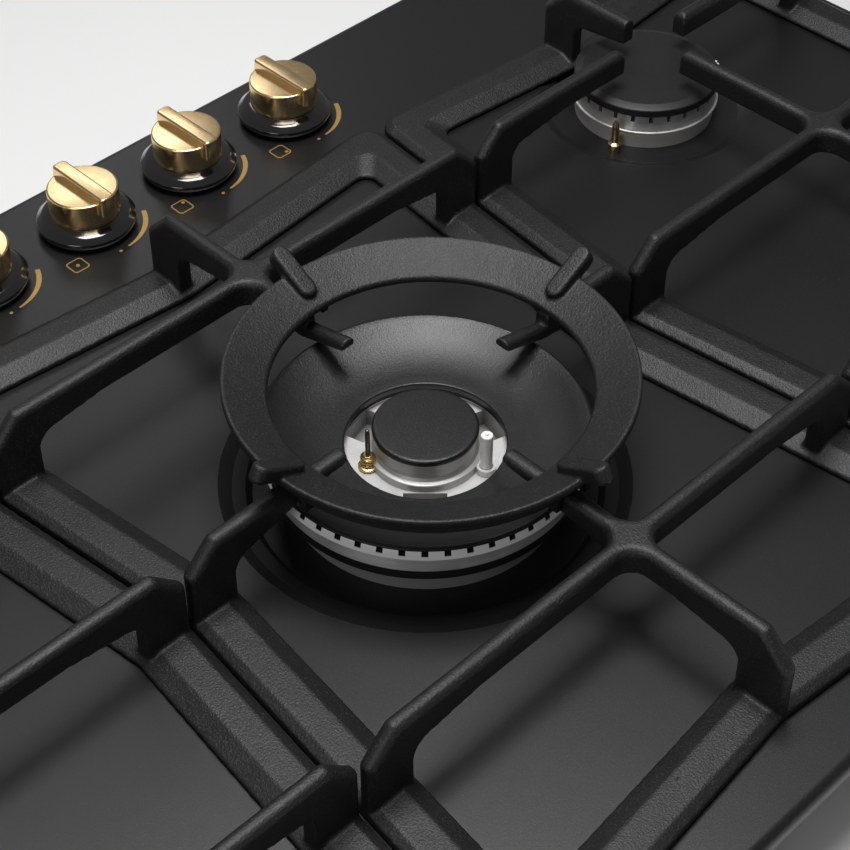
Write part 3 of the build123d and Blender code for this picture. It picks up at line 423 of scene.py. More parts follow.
def glossy_black(name, centre):
    """Deep black glossy skirt with faint wipe marks and a little dust."""
    black = (0.006, 0.006, 0.006)
    f = Finish(name, black, 0.10, centre=centre, Coat_Weight=1.0, Coat_Roughness=0.03)
    marks = f.group(SMUDGES, Size=40.0)
    dust = f.spread(f.noise(2600.0, 2.0), 0.68, 0.8, 0.0, 0.35)
    f.colour(f.mix(dust, black, (0.05, 0.05, 0.05)))
    f.roughness(f.maths("MULTIPLY_ADD", marks["Sheen"], 0.10, 0.12))
    f.bump(marks["Sheen"], 0.05, 0.2)
    return f.material


def zinc_steel(name):
    """Zinc-plated sheet with a soft crystalline spangle and rolling lines."""
    f = Finish(name, (0.50, 0.51, 0.52), 0.38, metallic=1.0)
    spangle = node(f.tree, "ShaderNodeTexVoronoi", {"Scale": 130.0}, feature="SMOOTH_F1")
    f.link(f.place, spangle.inputs["Vector"])
    rolled = f.drawn_lines((14.0, 1400.0, 900.0), 4.0)
    flake = f.spread(spangle.outputs["Distance"], 0.1, 0.8, 0.0, 1.0)
    f.colour(f.mix(flake, (0.44, 0.45, 0.465), (0.58, 0.585, 0.59)))
    f.roughness(f.spread(rolled, 0.3, 0.7, 0.3, 0.46))
    f.bump(rolled, 0.1, 0.04)
    return f.material


def ceramic(name):
    """White electrode ceramic with faintly scorched patches."""
    f = Finish(name, (0.86, 0.85, 0.82), 0.28)
    pores = f.group(SANDY_GRAIN, Grain=2600.0, Coarse=0.2)
    scorch = f.group(SMUDGES, Size=160.0)
    clean = f.mix(pores["Specks"], (0.84, 0.83, 0.80), (0.90, 0.895, 0.88))
    f.colour(f.mix(f.spread(scorch["Sheen"], 0.02, 0.3, 0.0, 0.5), clean, (0.66, 0.62, 0.56)))
    f.roughness(f.maths("MULTIPLY_ADD", pores["Specks"], 0.15, 0.26))
    f.bump(pores["Height"], 0.15, 0.03)
    return f.material


def rubber(name, colour):
    """Matt rubber or foam with a fine open grain."""
    f = Finish(name, colour, 0.8)
    cells = f.group(SANDY_GRAIN, Grain=700.0, Coarse=0.8)
    f.colour(f.mix(cells["Specks"], colour, tuple(c * 1.8 for c in colour)))
    f.roughness(f.maths("MULTIPLY_ADD", cells["Specks"], -0.15, 0.82))
    f.bump(cells["Height"], 0.5, 0.15)
    return f.material


def moulded_plastic(name):
    """Grey moulded plastic with spark-eroded texture."""
    f = Finish(name, (0.22, 0.22, 0.225), 0.5)
    erosion = f.group(SANDY_GRAIN, Grain=1000.0, Coarse=0.5)
    f.colour(f.mix(erosion["Specks"], (0.20, 0.20, 0.205), (0.26, 0.26, 0.265)))
    f.roughness(f.maths("MULTIPLY_ADD", erosion["Specks"], -0.12, 0.55))
    f.bump(erosion["Height"], 0.3, 0.1)
    return f.material


def stem_steel(name):
    """Bright drawn steel stem with length lines."""
    f = Finish(name, (0.62, 0.62, 0.61), 0.25, metallic=1.0)
    drawn = f.drawn_lines((3000.0, 3000.0, 60.0), 3.0)
    f.colour(f.mix(f.spread(drawn, 0.35, 0.65, 0.0, 1.0), (0.52, 0.52, 0.51), (0.68, 0.68, 0.67)))
    f.roughness(f.spread(drawn, 0.3, 0.7, 0.2, 0.34))
    f.bump(drawn, 0.1, 0.02)
    return f.material


def scorched_steel(name):
    """Flame probe's rod, darkened by heat, straw-coloured patches left."""
    f = Finish(name, (0.10, 0.085, 0.06), 0.4, metallic=0.9)
    heat = f.group(SMUDGES, Size=260.0)
    scale = f.group(SANDY_GRAIN, Grain=3000.0, Coarse=0.4)
    straw = f.spread(heat["Sheen"], -0.2, 0.25, 0.0, 1.0)
    f.colour(f.mix(straw, (0.06, 0.052, 0.04), (0.26, 0.21, 0.13)))
    f.roughness(f.maths("MULTIPLY_ADD", scale["Specks"], 0.2, 0.36))
    f.bump(scale["Height"], 0.3, 0.04)
    return f.material


def printed_gold(name):
    """Gold ink of the printed marks, with fine metallic flakes."""
    f = Finish(name, (0.50, 0.31, 0.10), 0.45, metallic=0.5)
    flakes = f.group(SANDY_GRAIN, Grain=2400.0, Coarse=0.3)
    f.colour(f.mix(flakes["Specks"], (0.42, 0.26, 0.08), (0.70, 0.46, 0.18)))
    f.roughness(f.maths("MULTIPLY_ADD", flakes["Specks"], -0.15, 0.44))
    f.bump(flakes["Height"], 0.2, 0.02)
    return f.material


# ---- mesh tools

CORNER_STEPS = 6             # facets in a rounded corner


def placed(name, data):
    """Links a new object to the scene."""
    made = bpy.data.objects.new(name, data)
    bpy.context.scene.collection.objects.link(made)
    return made


def piece(name, mesh, body, finish, slot, *replaced):
    """Puts a finished mesh in the scene: its body, material and the CAD nodes it replaces. The slot
    is not used.
    """
    made = placed(name, mesh)
    mesh.materials.clear()
    mesh.materials.append(finish)
    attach(made, body)
    if replaced:
        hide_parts(*replaced)


def filled(mesh, bm):
    """Moves a bmesh's contents into a mesh."""
    bm.to_mesh(mesh)
    bm.free()
    return mesh


def new_mesh(name, bm):
    """Turns a bmesh into a mesh of its own."""
    return filled(bpy.data.meshes.new(name), bm)


def evaluated(holder):
    """Mesh of an object with its modifiers applied."""
    graph = bpy.context.evaluated_depsgraph_get()
    return bpy.data.meshes.new_from_object(holder.evaluated_get(graph))


def dropped(holder):
    """Takes a helper object out again."""
    holder.modifiers.clear()
    bpy.data.objects.remove(holder)


def soften(mesh, angle=38.0):
    """Smooth shading with crisp edges above an angle."""
    mesh.polygons.foreach_set("use_smooth", [True] * len(mesh.polygons))
    mesh.set_sharp_from_angle(angle=math.radians(angle))
    mesh.update()
    return mesh


def turned_by(spot, angle):
    """A plan point turned about the origin."""
    return Vector((spot.x * math.cos(angle) - spot.y * math.sin(angle),
                   spot.x * math.sin(angle) + spot.y * math.cos(angle)))


def rounded(corners):
    """Closed profile from (radius, height[, rounding]) corners, each rounding as a short arc."""
    line = []
    for i, corner in enumerate(corners):
        here = Vector(corner[:2])
        if len(corner) < 3:
            line.append(here)
            continue
        before = (Vector(corners[i - 1][:2]) - here).normalized()
        after = (Vector(corners[(i + 1) % len(corners)][:2]) - here).normalized()
        half = before.angle(after) / 2
        reach = corner[2] / math.tan(half)
        centre = here + (before + after).normalized() * corner[2] / math.sin(half)
        start = here + before * reach - centre
        end = here + after * reach - centre
        turn = start.angle_signed(end)
        for k in range(CORNER_STEPS + 1):
            line.append(centre + turned_by(start, -turn * k / CORNER_STEPS))
    return line


def on_hob(centre):
    """Moves metres round an axis to their place on the hob surface."""
    return Matrix.Translation(Vector((centre[0], centre[1], SURFACE)) * MM)


def finish_mesh(bm, name, centre=(0.0, 0.0), angle=38.0):
    """Merges doubles, turns faces outwards, moves from mm round an axis to metres in place."""
    bmesh.ops.remove_doubles(bm, verts=bm.verts, dist=WELD)
    bmesh.ops.recalc_face_normals(bm, faces=bm.faces)
    mesh = new_mesh(name, bm)
    mesh.transform(on_hob(centre) @ Matrix.Scale(MM, 4))
    return soften(mesh, angle)


def bridge(bm, low, high):
    """Faces between two closed loops of points; a loop may be one point over and over."""
    count = len(low)
    for k in range(count):
        following = (k + 1) % count
        corners = list(dict.fromkeys([low[k], low[following], high[following], high[k]]))
        if len(corners) > 2:
            bm.faces.new(corners)


def spun(bm, line, segments):
    """Spins a closed profile about the upright axis inside a bmesh."""
    rings = []
    for point in line:
        if abs(point.x) < 1e-6:
            rings.append([bm.verts.new((0, 0, point.y))] * segments)
            continue
        ring = []
        for k in range(segments):
            a = 2 * math.pi * k / segments
            ring.append(bm.verts.new((point.x * math.cos(a), point.x * math.sin(a), point.y)))
        rings.append(ring)
    for ring, following in zip(rings, rings[1:] + rings[:1]):
        bridge(bm, ring, following)


def turned(name, corners, centre, segments=160, angle=38.0):
    """Closed solid of revolution from profile corners, heights above the hob surface."""
    bm = bmesh.new()
    spun(bm, rounded(corners), segments)
    return finish_mesh(bm, name, centre, angle)


def toothed_sector(name, lower, tooth, slot, count, slot_width):
    """One sector of a slotted flame ring: half a tooth, a slot, half a tooth, open at both ends.

    tooth and lower together make the full profile, lower running on from the tooth's last point
    towards its first; slot is the tooth's outline where metal is cut away.
    """
    bm = bmesh.new()
    half = math.pi / count
    reach = max(p[0] for p in tooth)
    cut = slot_width / 2 / reach

    def at(point, angle):
        """New point of the profile, turned to an angle."""
        return bm.verts.new((point[0] * math.cos(angle), point[0] * math.sin(angle), point[1]))

    def strip(path, start, end):
        """Faces along a path between two angles."""
        for p, q in zip(path, path[1:]):
            bm.faces.new([at(p, start), at(p, end), at(q, end), at(q, start)])

    rest = [tooth[-1], *lower, tooth[0]]
    stops = [-half, -(half + cut) / 2, -cut, 0, cut, (half + cut) / 2, half]
    for start, end in zip(stops, stops[1:]):
        inside = abs(start + end) / 2 < cut
        strip(slot if inside else tooth, start, end)
        strip(rest, start, end)
    cheek = tooth + slot[-2:0:-1]
    for angle in (-cut, cut):
        bm.faces.new([at(p, angle) for p in cheek])
    bmesh.ops.remove_doubles(bm, verts=bm.verts, dist=WELD)
    return new_mesh(name, bm)


# ---- geometry nodes

COPIES_WELD = 2e-6           # metres between points that become one


def copying_tree(name, **settings):
    """Tree that puts copies of a piece on a line of points, merges them and gives the material."""
    tree = bpy.data.node_groups.new(name, "GeometryNodeTree")
    socket(tree, "Geometry", "NodeSocketGeometry")
    socket(tree, "Count", "NodeSocketInt")
    for setting, kind in settings.items():
        socket(tree, setting, kind)
    socket(tree, "Material", "NodeSocketMaterial")
    socket(tree, "Geometry", "NodeSocketGeometry", out=True)
    enter, leave = tree.nodes.new("NodeGroupInput"), tree.nodes.new("NodeGroupOutput")
    points = node(tree, "GeometryNodeMeshLine", {"Offset": (0, 0, 0)})
    copies = tree.nodes.new("GeometryNodeInstanceOnPoints")
    real = tree.nodes.new("GeometryNodeRealizeInstances")
    weld = node(tree, "GeometryNodeMergeByDistance", {"Distance": COPIES_WELD})
    paint = tree.nodes.new("GeometryNodeSetMaterial")
    for start, end in (
        (enter.outputs["Count"], points.inputs["Count"]),
        (points.outputs["Mesh"], copies.inputs["Points"]),
        (enter.outputs["Geometry"], copies.inputs["Instance"]),
        (copies.outputs[0], real.inputs[0]),
        (real.outputs[0], weld.inputs["Geometry"]),
        (weld.outputs[0], paint.inputs["Geometry"]),
        (enter.outputs["Material"], paint.inputs["Material"]),
        (paint.outputs[0], leave.inputs[0]),
    ):
        tree.links.new(start, end)
    return tree, enter, points, copies


def around_axis():
    """Tree: copies of a sector turned about the upright axis."""
    tree, enter, _, copies = copying_tree("around_axis")
    number = tree.nodes.new("GeometryNodeInputIndex")
    turn = tree.nodes.new("ShaderNodeCombineXYZ")
    step = maths(tree, "DIVIDE", 2 * math.pi, enter.outputs["Count"])
    tree.links.new(maths(tree, "MULTIPLY", number.outputs[0], step), turn.inputs["Z"])
    tree.links.new(turn.outputs[0], copies.inputs["Rotation"])
    return tree


def along_row():
    """Tree: copies of a piece in a straight row along X, centred on it."""
    tree, enter, points, _ = copying_tree("along_row", Pitch="NodeSocketFloat")
    step, start = tree.nodes.new("ShaderNodeCombineXYZ"), tree.nodes.new("ShaderNodeCombineXYZ")
    spans = maths(tree, "SUBTRACT", enter.outputs["Count"], 1.0)
    first = maths(tree, "MULTIPLY", maths(tree, "MULTIPLY", spans, enter.outputs["Pitch"]), -0.5)
    tree.links.new(enter.outputs["Pitch"], step.inputs["X"])
    tree.links.new(first, start.inputs["X"])
    tree.links.new(start.outputs[0], points.inputs["Start Location"])
    tree.links.new(step.outputs[0], points.inputs["Offset"])
    return tree


AROUND_AXIS = around_axis()
ALONG_ROW = along_row()


def repeated(name, mesh, tree, **values):
    """Runs a tree on a mesh and returns the plain result, with faces turned outwards."""
    holder = placed(name + "_source", mesh)
    modifier = holder.modifiers.new("copies", "NODES")
    modifier.node_group = tree
    for item in tree.interface.items_tree:
        if item.in_out == "INPUT" and item.name in values:
            modifier[item.identifier] = values[item.name]
    result = evaluated(holder)
    result.name = name
    dropped(holder)
    bm = bmesh.new()
    bm.from_mesh(result)
    bmesh.ops.remove_doubles(bm, verts=bm.verts, dist=COPIES_WELD)
    bmesh.ops.recalc_face_normals(bm, faces=bm.faces)
    return filled(result, bm)


def flame_ring(name, centre, lower, tooth, slot, count, slot_width, finish):
    """Slotted flame ring in place, its sector repeated round the axis."""
    sector = toothed_sector(name + "_sector", lower, tooth, slot, count, slot_width)
    sector.transform(Matrix.Scale(MM, 4))
    mesh = repeated(name, sector, AROUND_AXIS, Count=count, Material=finish)
    mesh.transform(on_hob(centre))
    return soften(mesh, 30)


# ---- castings

FOOT_Z = 1.6                 # underside of a grate's frame above the hob
FOOT_EXTRA = 0.9
BARS_Z = 25.0                # nothing of the prongs is lower than this
PRONG_STEP_R = 74.0          # where the prongs begin under the wok ring
PRONG_ROOT = 8.0             # length of a prong that keeps its place
PRONG_TOP = 39.0
PRONG_LIFT = 5.0
PRONG_EXTRA = 5.5
PRONG_WIDER = 1.18
RING_AT = (-2.3, 28.1)       # axis of the wok ring on the grate
RIB_IN = (73.3, 55.5)        # radius and height of a rib's inner end
RIB_OUT = (97.7, 69.2)
RIB_WIDTH = 8.6
RIB_LOOPS = ((0.0, 7.0), (0.0, 1.3), (0.35, 0.5), (1.1, 0.0))    # inset and depth, from below
SAME_POINT = 1e-5            # metres between points of the CAD mesh that are one
LUMP_DEPTH = 0.10            # unevenness of a casting's skin
MOST_TRIANGLES = 190000


def thicker_foot(bm):
    """Lets the thin lower edge of a grate's frame down nearer to the hob."""
    for vertex in bm.verts:
        if vertex.co.z < (SURFACE + FOOT_Z + 0.05) * MM:
            vertex.co.z -= FOOT_EXTRA * MM


def longer_prongs(bm):
    """Frame's lower edge, and the four prongs under the wok ring: longer, higher and wider."""
    thicker_foot(bm)
    for vertex in bm.verts:
        x, y = vertex.co.x / MM - WOK[0], vertex.co.y / MM - WOK[1]
        height = vertex.co.z / MM - SURFACE
        reach = max(abs(x), abs(y))
        if reach > PRONG_STEP_R + 0.2 or height < BARS_Z:
            continue
        if height < PRONG_TOP + 0.5:
            vertex.co.z += PRONG_LIFT * MM
        shrink = PRONG_EXTRA / reach if reach < PRONG_STEP_R - PRONG_ROOT else 0.0
        if abs(x) > abs(y):
            vertex.co.x -= x * shrink * MM
            vertex.co.y += y * (PRONG_WIDER - 1.0) * MM
        else:
            vertex.co.y -= y * shrink * MM
            vertex.co.x += x * (PRONG_WIDER - 1.0) * MM


def broader_ribs(bm):
    """Lays a broader round-ended rib over each rib of the wok ring."""
    run, rise = RIB_OUT[0] - RIB_IN[0], RIB_OUT[1] - RIB_IN[1]
    straight = (math.hypot(run, rise) - RIB_WIDTH) / 2
    tilt = Matrix.Rotation(-math.atan2(rise, run), 4, "Y")
    middle = Vector(((RIB_OUT[0] + RIB_IN[0]) / 2, 0, (RIB_OUT[1] + RIB_IN[1]) / 2))
    for quarter in range(4):
        turn = Matrix.Rotation(quarter * math.pi / 2, 4, "Z")
        loops = []
        for inset, drop in RIB_LOOPS:
            loop = []
            bend = RIB_WIDTH / 2 - inset
            for side, first in ((1, -90), (-1, 90)):
                for k in range(13):
                    a = math.radians(first + 15 * k)
                    spot = Vector((side * straight + bend * math.cos(a), bend * math.sin(a), -drop))
                    spot = turn @ (tilt @ spot + middle) + Vector((*RING_AT, SURFACE))
                    loop.append(bm.verts.new(spot * MM))
            loops.append(loop)
        for low, high in zip(loops, loops[1:]):
            bridge(bm, low, high)
        bm.faces.new(loops[-1])
        bm.faces.new(loops[0][::-1])


def casting(cad, cell, finish, shape):
    """Cast piece: a CAD node reshaped, re-skinned in small cells, eased and made a bit uneven."""
    name = f"{cad}_casting"
    copy = NODES[cad].data.copy()
    bm = bmesh.new()
    bm.from_mesh(copy)
    bmesh.ops.remove_doubles(bm, verts=bm.verts, dist=SAME_POINT)
    shape(bm)
    holder = placed(name + "_pattern", filled(copy, bm))
    skin = holder.modifiers.new("skin", "REMESH")
    skin.mode = "VOXEL"
    skin.voxel_size = cell * MM
    ease = holder.modifiers.new("ease", "SMOOTH")
    ease.factor = 0.5
    ease.iterations = 4
    mesh = evaluated(holder)
    triangles = sum(len(p.vertices) - 2 for p in mesh.polygons)
    if triangles > MOST_TRIANGLES:
        thin = holder.modifiers.new("thin", "DECIMATE")
        thin.ratio = MOST_TRIANGLES / triangles
        mesh = evaluated(holder)
    dropped(holder)
    normals = [v.normal.copy() for v in mesh.vertices]
    for vertex, normal in zip(mesh.vertices, normals):
        swell = noise.noise(vertex.co * 90.0) + 0.5 * noise.noise(vertex.co * 260.0)
        vertex.co += normal * min(0.0, swell - 0.2) * LUMP_DEPTH * MM
    mesh.name = name
    mesh.polygons.foreach_set("use_smooth", [True] * len(mesh.polygons))
    mesh.update()
    piece(name, mesh, cad, finish, "cast_iron", cad)


iron = cast_iron("grate_iron", 0.6, 0.48)
ring_iron = cast_iron("ring_iron", 0.65, 0.49)
casting("centre_grate", 0.75, iron, longer_prongs)
casting("left_grate", 0.85, iron, thicker_foot)
casting("right_grate", 0.85, iron, thicker_foot)
casting("wok_ring", 0.6, ring_iron, broader_ribs)


# ---- wok burner

cap_enamel = black_enamel("cap_enamel", WOK_CENTRE, relief=0.75, sheen=0.33)
crown_metal = flame_ring_metal("crown_metal", WOK_CENTRE)
inner_metal = turned_aluminium("inner_metal", WOK_CENTRE, bright=(0.56, 0.555, 0.54),
                               dull=(0.38, 0.375, 0.365), sheen=0.42, metal=0.5)

dish = turned("wok_dish", [
    (35.5, 21.0, 0.9), (41.0, 21.1), (47.5, 21.8), (53.0, 22.9), (58.0, 24.3), (62.5, 26.0),
    (66.5, 27.8), (70.0, 29.5), (72.0, 30.2, 0.7), (73.2, 29.5, 0.3), (73.2, 28.6, 0.2),
    (70.6, 28.6), (66.5, 25.9), (57.5, 22.0), (47.5, 19.5), (39.5, 17.8), (35.5, 17.8, 0.4),
], WOK, 256, 30)
piece("wok_dish_enamelled", dish, "root", cap_enamel, "black_cap_enamel", "wok_dish_cap")

cap = turned("wok_cap", [
    (0.0, 26.6), (22.6, 26.6), (23.4, 27.4, 0.4), (23.4, 30.0, 1.4), (21.0, 30.1), (0.0, 30.2),
], WOK, 160)
piece("wok_cap_enamelled", cap, "root", cap_enamel, "black_cap_enamel", "wok_inner_cap")

crown = flame_ring(
    "wok_flame_ring", WOK,
    lower=[(67.0, 23.2), (63.5, 23.0), (57.5, 20.4), (43.5, 16.8), (36.5, 16.8), (36.5, 15.0),
           (43.5, 15.0), (57.5, 18.6), (63.0, 21.4), (64.5, 22.0), (71.3, 22.0), (71.9, 22.25),
           (72.7, 22.7), (73.1, 23.2)],
    tooth=[(TOOTH_R, TOOTH_Z), (71.3, 28.2), (70.9, 28.6), (70.0, 28.6), (69.0, TOOTH_Z)],
    slot=[(TOOTH_R, TOOTH_Z), (69.0, TOOTH_Z)],
    count=48, slot_width=2.9, finish=crown_metal)
piece("wok_flame_ring", crown, "root", crown_metal, "burner_aluminium", "wok_burner_crown")

inner_ring = turned("wok_inner_ring", [
    (0.0, 14.0), (25.6, 14.0), (25.6, 17.6, 0.7), (23.6, 18.2, 0.8), (22.5, 19.6, 0.8),
    (22.3, 22.6), (22.3, 26.6), (0.0, 26.6),
], WOK, 160, 30)
piece("wok_inner_ring", inner_ring, "root", inner_metal, "burner_aluminium", "wok_inner_crown")

band = turned("wok_body_band", [
    (68.8, 13.2), (70.2, 13.2, 0.2), (70.2, 21.6, 0.3), (68.8, 21.6),
], WOK, 256)
piece("wok_body_band", band, "root", brushed_band("brushed_band", WOK_CENTRE), "burner_aluminium")

PROBE = (WOK[0] + 24.7, WOK[1] - 10.4)


def ribbed_nut():
    """Brass nut of the flame probe: from the bottom up, plain foot, flange and three ribs."""
    line = [(0.0, 8.0), (3.7, 8.0), (3.7, 14.2), (4.4, 14.4, 0.15), (4.4, 15.6, 0.3), (3.2, 16.0)]
    for rib in range(3):
        low = 16.1 + rib * 1.7
        line += [(2.6, low), (3.4, low + 0.35, 0.3), (3.4, low + 1.05, 0.3), (2.6, low + 1.45)]
    line += [(1.9, 21.6, 0.3), (0.0, 21.7)]
    return turned("probe_nut", line, PROBE, 64, 50)


probe_brass = brass_fitting("probe_brass")
piece("probe_nut", ribbed_nut(), "root", probe_brass, "probe_brass", "wok_thermocouple")
probe_rod = turned("probe_rod", [
    (0.0, 21.0), (1.1, 21.0), (1.1, 33.4, 0.4), (0.8, 36.2, 0.6), (0.0, 36.6),
], PROBE, 48, 50)
piece("probe_rod", probe_rod, "root", scorched_steel("scorched_steel"), "stem_steel",
      "wok_thermocouple")


# ---- outer burners

LID_Z = 17.0                 # underside of a side burner's lid
SLOT_Z = 12.5                # floor of its slots

for place_name, (x, y, radius) in OUTER_BURNERS.items():
    centre = (x, y, SURFACE)
    metal = turned_aluminium(f"spreader_metal_{place_name}", centre)
    enamel = black_enamel(f"burner_cap_enamel_{place_name}", centre, grain=1250.0, relief=0.45,
                          sheen=0.46)
    bore, slot_end = (radius - 4.3) * 0.62, (radius - 4.3) * 0.7
    lid = turned(f"burner_lid_{place_name}", [
        (0.0, LID_Z), (radius + 0.9, LID_Z), (radius + 1.5, 17.6, 0.3), (radius + 1.5, 21.5, 1.1),
        (radius - 3.0, 22.95, 2.0), (radius * 0.5, 23.3), (0.0, 23.4),
    ], (x, y), 128)
    piece(f"burner_lid_{place_name}", lid, "root", enamel, "black_cap_enamel",
          f"burner_cap_{place_name}")
    teeth = max(12, round(radius * 0.64))
    spreader = flame_ring(
        f"flame_ring_{place_name}", (x, y),
        lower=[(bore, LID_Z), (bore, 8.0), (radius + 0.6, 8.0), (radius + 1.0, 8.4)],
        tooth=[(radius - 0.5, SLOT_Z), (radius - 0.9, 16.6), (radius - 1.4, LID_Z),
               (slot_end, LID_Z)],
        slot=[(radius - 0.5, SLOT_Z), (slot_end, SLOT_Z), (slot_end, LID_Z)],
        count=teeth, slot_width=2.2, finish=metal)
    piece(f"flame_ring_{place_name}", spreader, "root", metal, "burner_aluminium",
          f"flame_spreader_{place_name}")


# ---- knobs

STEM_R = 4.05                # bore for the tap's stem
DRUM_FOOT = 10.4
DRUM_R = 18.0
GRIP_TOP = 24.3
BAR_SIZE = (9.6, 42.0)       # width and length
BAR_FOOT = 18.8
BAR_TOP = 29.0
BAR_Y = 1.4                  # how far the bar's middle stands towards the mark
BAR_NARROWS = (0.86, 0.985)  # size of its top against its foot


def pointer_bar():
    """Tapered bar across a knob, its upright edges and its top rounded."""
    bar = bmesh.new()
    bmesh.ops.create_cube(bar, size=1.0)
    for vertex in bar.verts:
        x, y, z = vertex.co
        vertex.co = Vector((x * BAR_SIZE[0], y * BAR_SIZE[1] + BAR_Y,
                            BAR_FOOT + (z + 0.5) * (BAR_TOP - BAR_FOOT)))
        if z > 0:
            vertex.co.x *= BAR_NARROWS[0]
            vertex.co.y = BAR_Y + (vertex.co.y - BAR_Y) * BAR_NARROWS[1]
    upright = [e for e in bar.edges if abs(e.verts[0].co.z - e.verts[1].co.z) > 1]
    bmesh.ops.bevel(bar, geom=upright, offset=2.4, segments=6, affect="EDGES", profile=0.5)
    rim = [e for e in bar.edges if min(v.co.z for v in e.verts) > BAR_TOP - 0.01]
    bmesh.ops.bevel(bar, geom=rim, offset=1.1, segments=5, affect="EDGES", profile=0.5)
    return new_mesh("bar", bar)


def knob_grip(number, x, finish):
    """Brass drum with a rounded top edge and the bar that points to the mark."""
    bm = bmesh.new()
    spun(bm, rounded([
        (STEM_R, DRUM_FOOT), (17.6, DRUM_FOOT), (DRUM_R, 10.8, 0.3), (DRUM_R, GRIP_TOP, 1.0),
        (0.0, GRIP_TOP), (0.0, 20.3), (STEM_R, 20.3),
    ]), 128)
    bmesh.ops.remove_doubles(bm, verts=bm.verts, dist=WELD)
    bm.from_mesh(pointer_bar())
    mesh = finish_mesh(bm, f"brass_grip_{number}", (x, KNOB_Y), angle=32)
    piece(mesh.name, mesh, f"knob_{number}", finish, "knob_brass", f"knob_grip_{number}")


def knob_skirt(number, x, finish):
    """Glossy domed skirt under the brass."""
    mesh = turned(f"gloss_skirt_{number}", [
        (4.3, 3.0), (24.2, 3.0), (24.7, 3.2), (25.2, 4.6, 0.8), (25.2, 6.0, 1.0), (22.2, 8.6, 3.0),
        (DRUM_R, DRUM_FOOT), (4.3, DRUM_FOOT),
    ], (x, KNOB_Y), 160, 40)
    piece(mesh.name, mesh, f"knob_{number}", finish, "gloss_black", f"knob_skirt_{number}")


KNOB_XS = [KNOB_PITCH * (k - KNOB_COUNT // 2) for k in range(KNOB_COUNT)]
for number, knob_x in enumerate(KNOB_XS, 1):
    knob_grip(number, knob_x, polished_brass(f"grip_brass_{number}", (knob_x, KNOB_Y, SURFACE)))
    knob_skirt(number, knob_x, glossy_black(f"skirt_gloss_{number}", (knob_x, KNOB_Y, SURFACE)))


# ---- printed marks

INK = 0.05                   # thickness of the ink above the surface
OFF_DOT = (1.2, 28.5)        # from the knob's axis, as is the symbol
SYMBOL_AT = (23.5, 22.4)
DOT_SIDES = 20
SYMBOL_DOTS = [(-2.4, 2.4), (-2.4, -2.4), (0.0, 0.0), (2.4, -2.4), (2.4, 2.4)]    # one burner each


def flat_loop(bm, outline, z):
    """Points of an outline in plan, at one height."""
    return [bm.verts.new((x, y, z)) for x, y in outline]


def inked_patch(bm, outline):
    """Thin closed plate from an outline in plan."""
    bottom, top = flat_loop(bm, outline, -INK), flat_loop(bm, outline, INK)
    bridge(bm, bottom, top)
    bm.faces.new(top)
    bm.faces.new(bottom[::-1])


def inked_frame(bm, outer, inner):
    """Thin closed frame between two outlines with the same number of points."""
    loops = [flat_loop(bm, outline, z)
             for outline, z in ((outer, -INK), (outer, INK), (inner, INK), (inner, -INK))]
    for a, b in zip(loops, loops[1:] + loops[:1]):
        bridge(bm, a, b)


def round_square(middle, half, corner):
    """Outline of a square with rounded corners."""
    points = []
    arc_middle = Vector((half - corner, half - corner))
    for quarter in range(4):
        for k in range(CORNER_STEPS + 1):
            a = math.pi / 2 * k / CORNER_STEPS
            spot = arc_middle + Vector((math.cos(a), math.sin(a))) * corner
            points.append((middle + turned_by(spot, quarter * math.pi / 2))[:])
    return points


def disc(radius, middle):
    """Outline of a round dot."""
    angles = [2 * math.pi * k / DOT_SIDES for k in range(DOT_SIDES)]
    return [(middle[0] + radius * math.cos(a), middle[1] + radius * math.sin(a)) for a in angles]


def crescent():
    """Outline of the tapered arc beside the knob that stands for more and less flame."""
    outer_middle, outer_r = Vector((-3.2, 1.6)), 27.1
    inner_middle, inner_r = Vector((0.3, -1.0)), 28.9
    first, sweep, steps, thinnest = 92, 67, 28, 0.25
    outer = []
    inner = []
    for k in range(steps + 1):
        a = math.radians(first + sweep * k / steps)
        out = outer_middle + outer_r * Vector((math.cos(a), math.sin(a)))
        away = (out - inner_middle).normalized()
        near = inner_middle + away * inner_r
        gap = max(thinnest, (out - near).dot(away))
        outer.append((near + away * gap)[:])
        inner.append(near[:])
    return outer + inner[::-1]


def flame_marks():
    """Marks that are the same at each knob: the crescent and the off dot."""
    bm = bmesh.new()
    inked_patch(bm, crescent())
    inked_patch(bm, disc(0.9, OFF_DOT))
    mesh = new_mesh("marks", bm)
    mesh.transform(Matrix.Scale(MM, 4))
    return mesh


def burner_symbol(bm, x, dot):
    """Hob outline with a dot for the burner that the knob turns on."""
    middle = Vector((x + SYMBOL_AT[0], KNOB_Y + SYMBOL_AT[1]))
    inked_frame(bm, round_square(middle, 4.7, 1.9), round_square(middle, 4.05, 1.4))
    inked_patch(bm, disc(1.0, middle + Vector(dot)))


gold = printed_gold("printed_gold")
row = repeated("printed_marks", flame_marks(), ALONG_ROW, Count=KNOB_COUNT, Pitch=KNOB_PITCH * MM,
               Material=gold)
row.transform(on_hob((0, KNOB_Y)))
piece("printed_marks", soften(row), "root", gold, "knob_brass")
bm = bmesh.new()
for knob_x, dot in zip(KNOB_XS, SYMBOL_DOTS):
    burner_symbol(bm, knob_x, dot)
piece("printed_symbols", finish_mesh(bm, "printed_symbols"), "root", gold, "knob_brass")


# ---- CAD nodes that stay

def dress(finish, *names):
    """Gives carried-over CAD nodes their finish."""
    for name in names:
        mesh = NODES[name].data
        for place in range(len(mesh.materials)):
            mesh.materials[place] = finish
        if not mesh.materials:
            mesh.materials.append(finish)
        for slot in NODES[name].material_slots:
            slot.material = finish


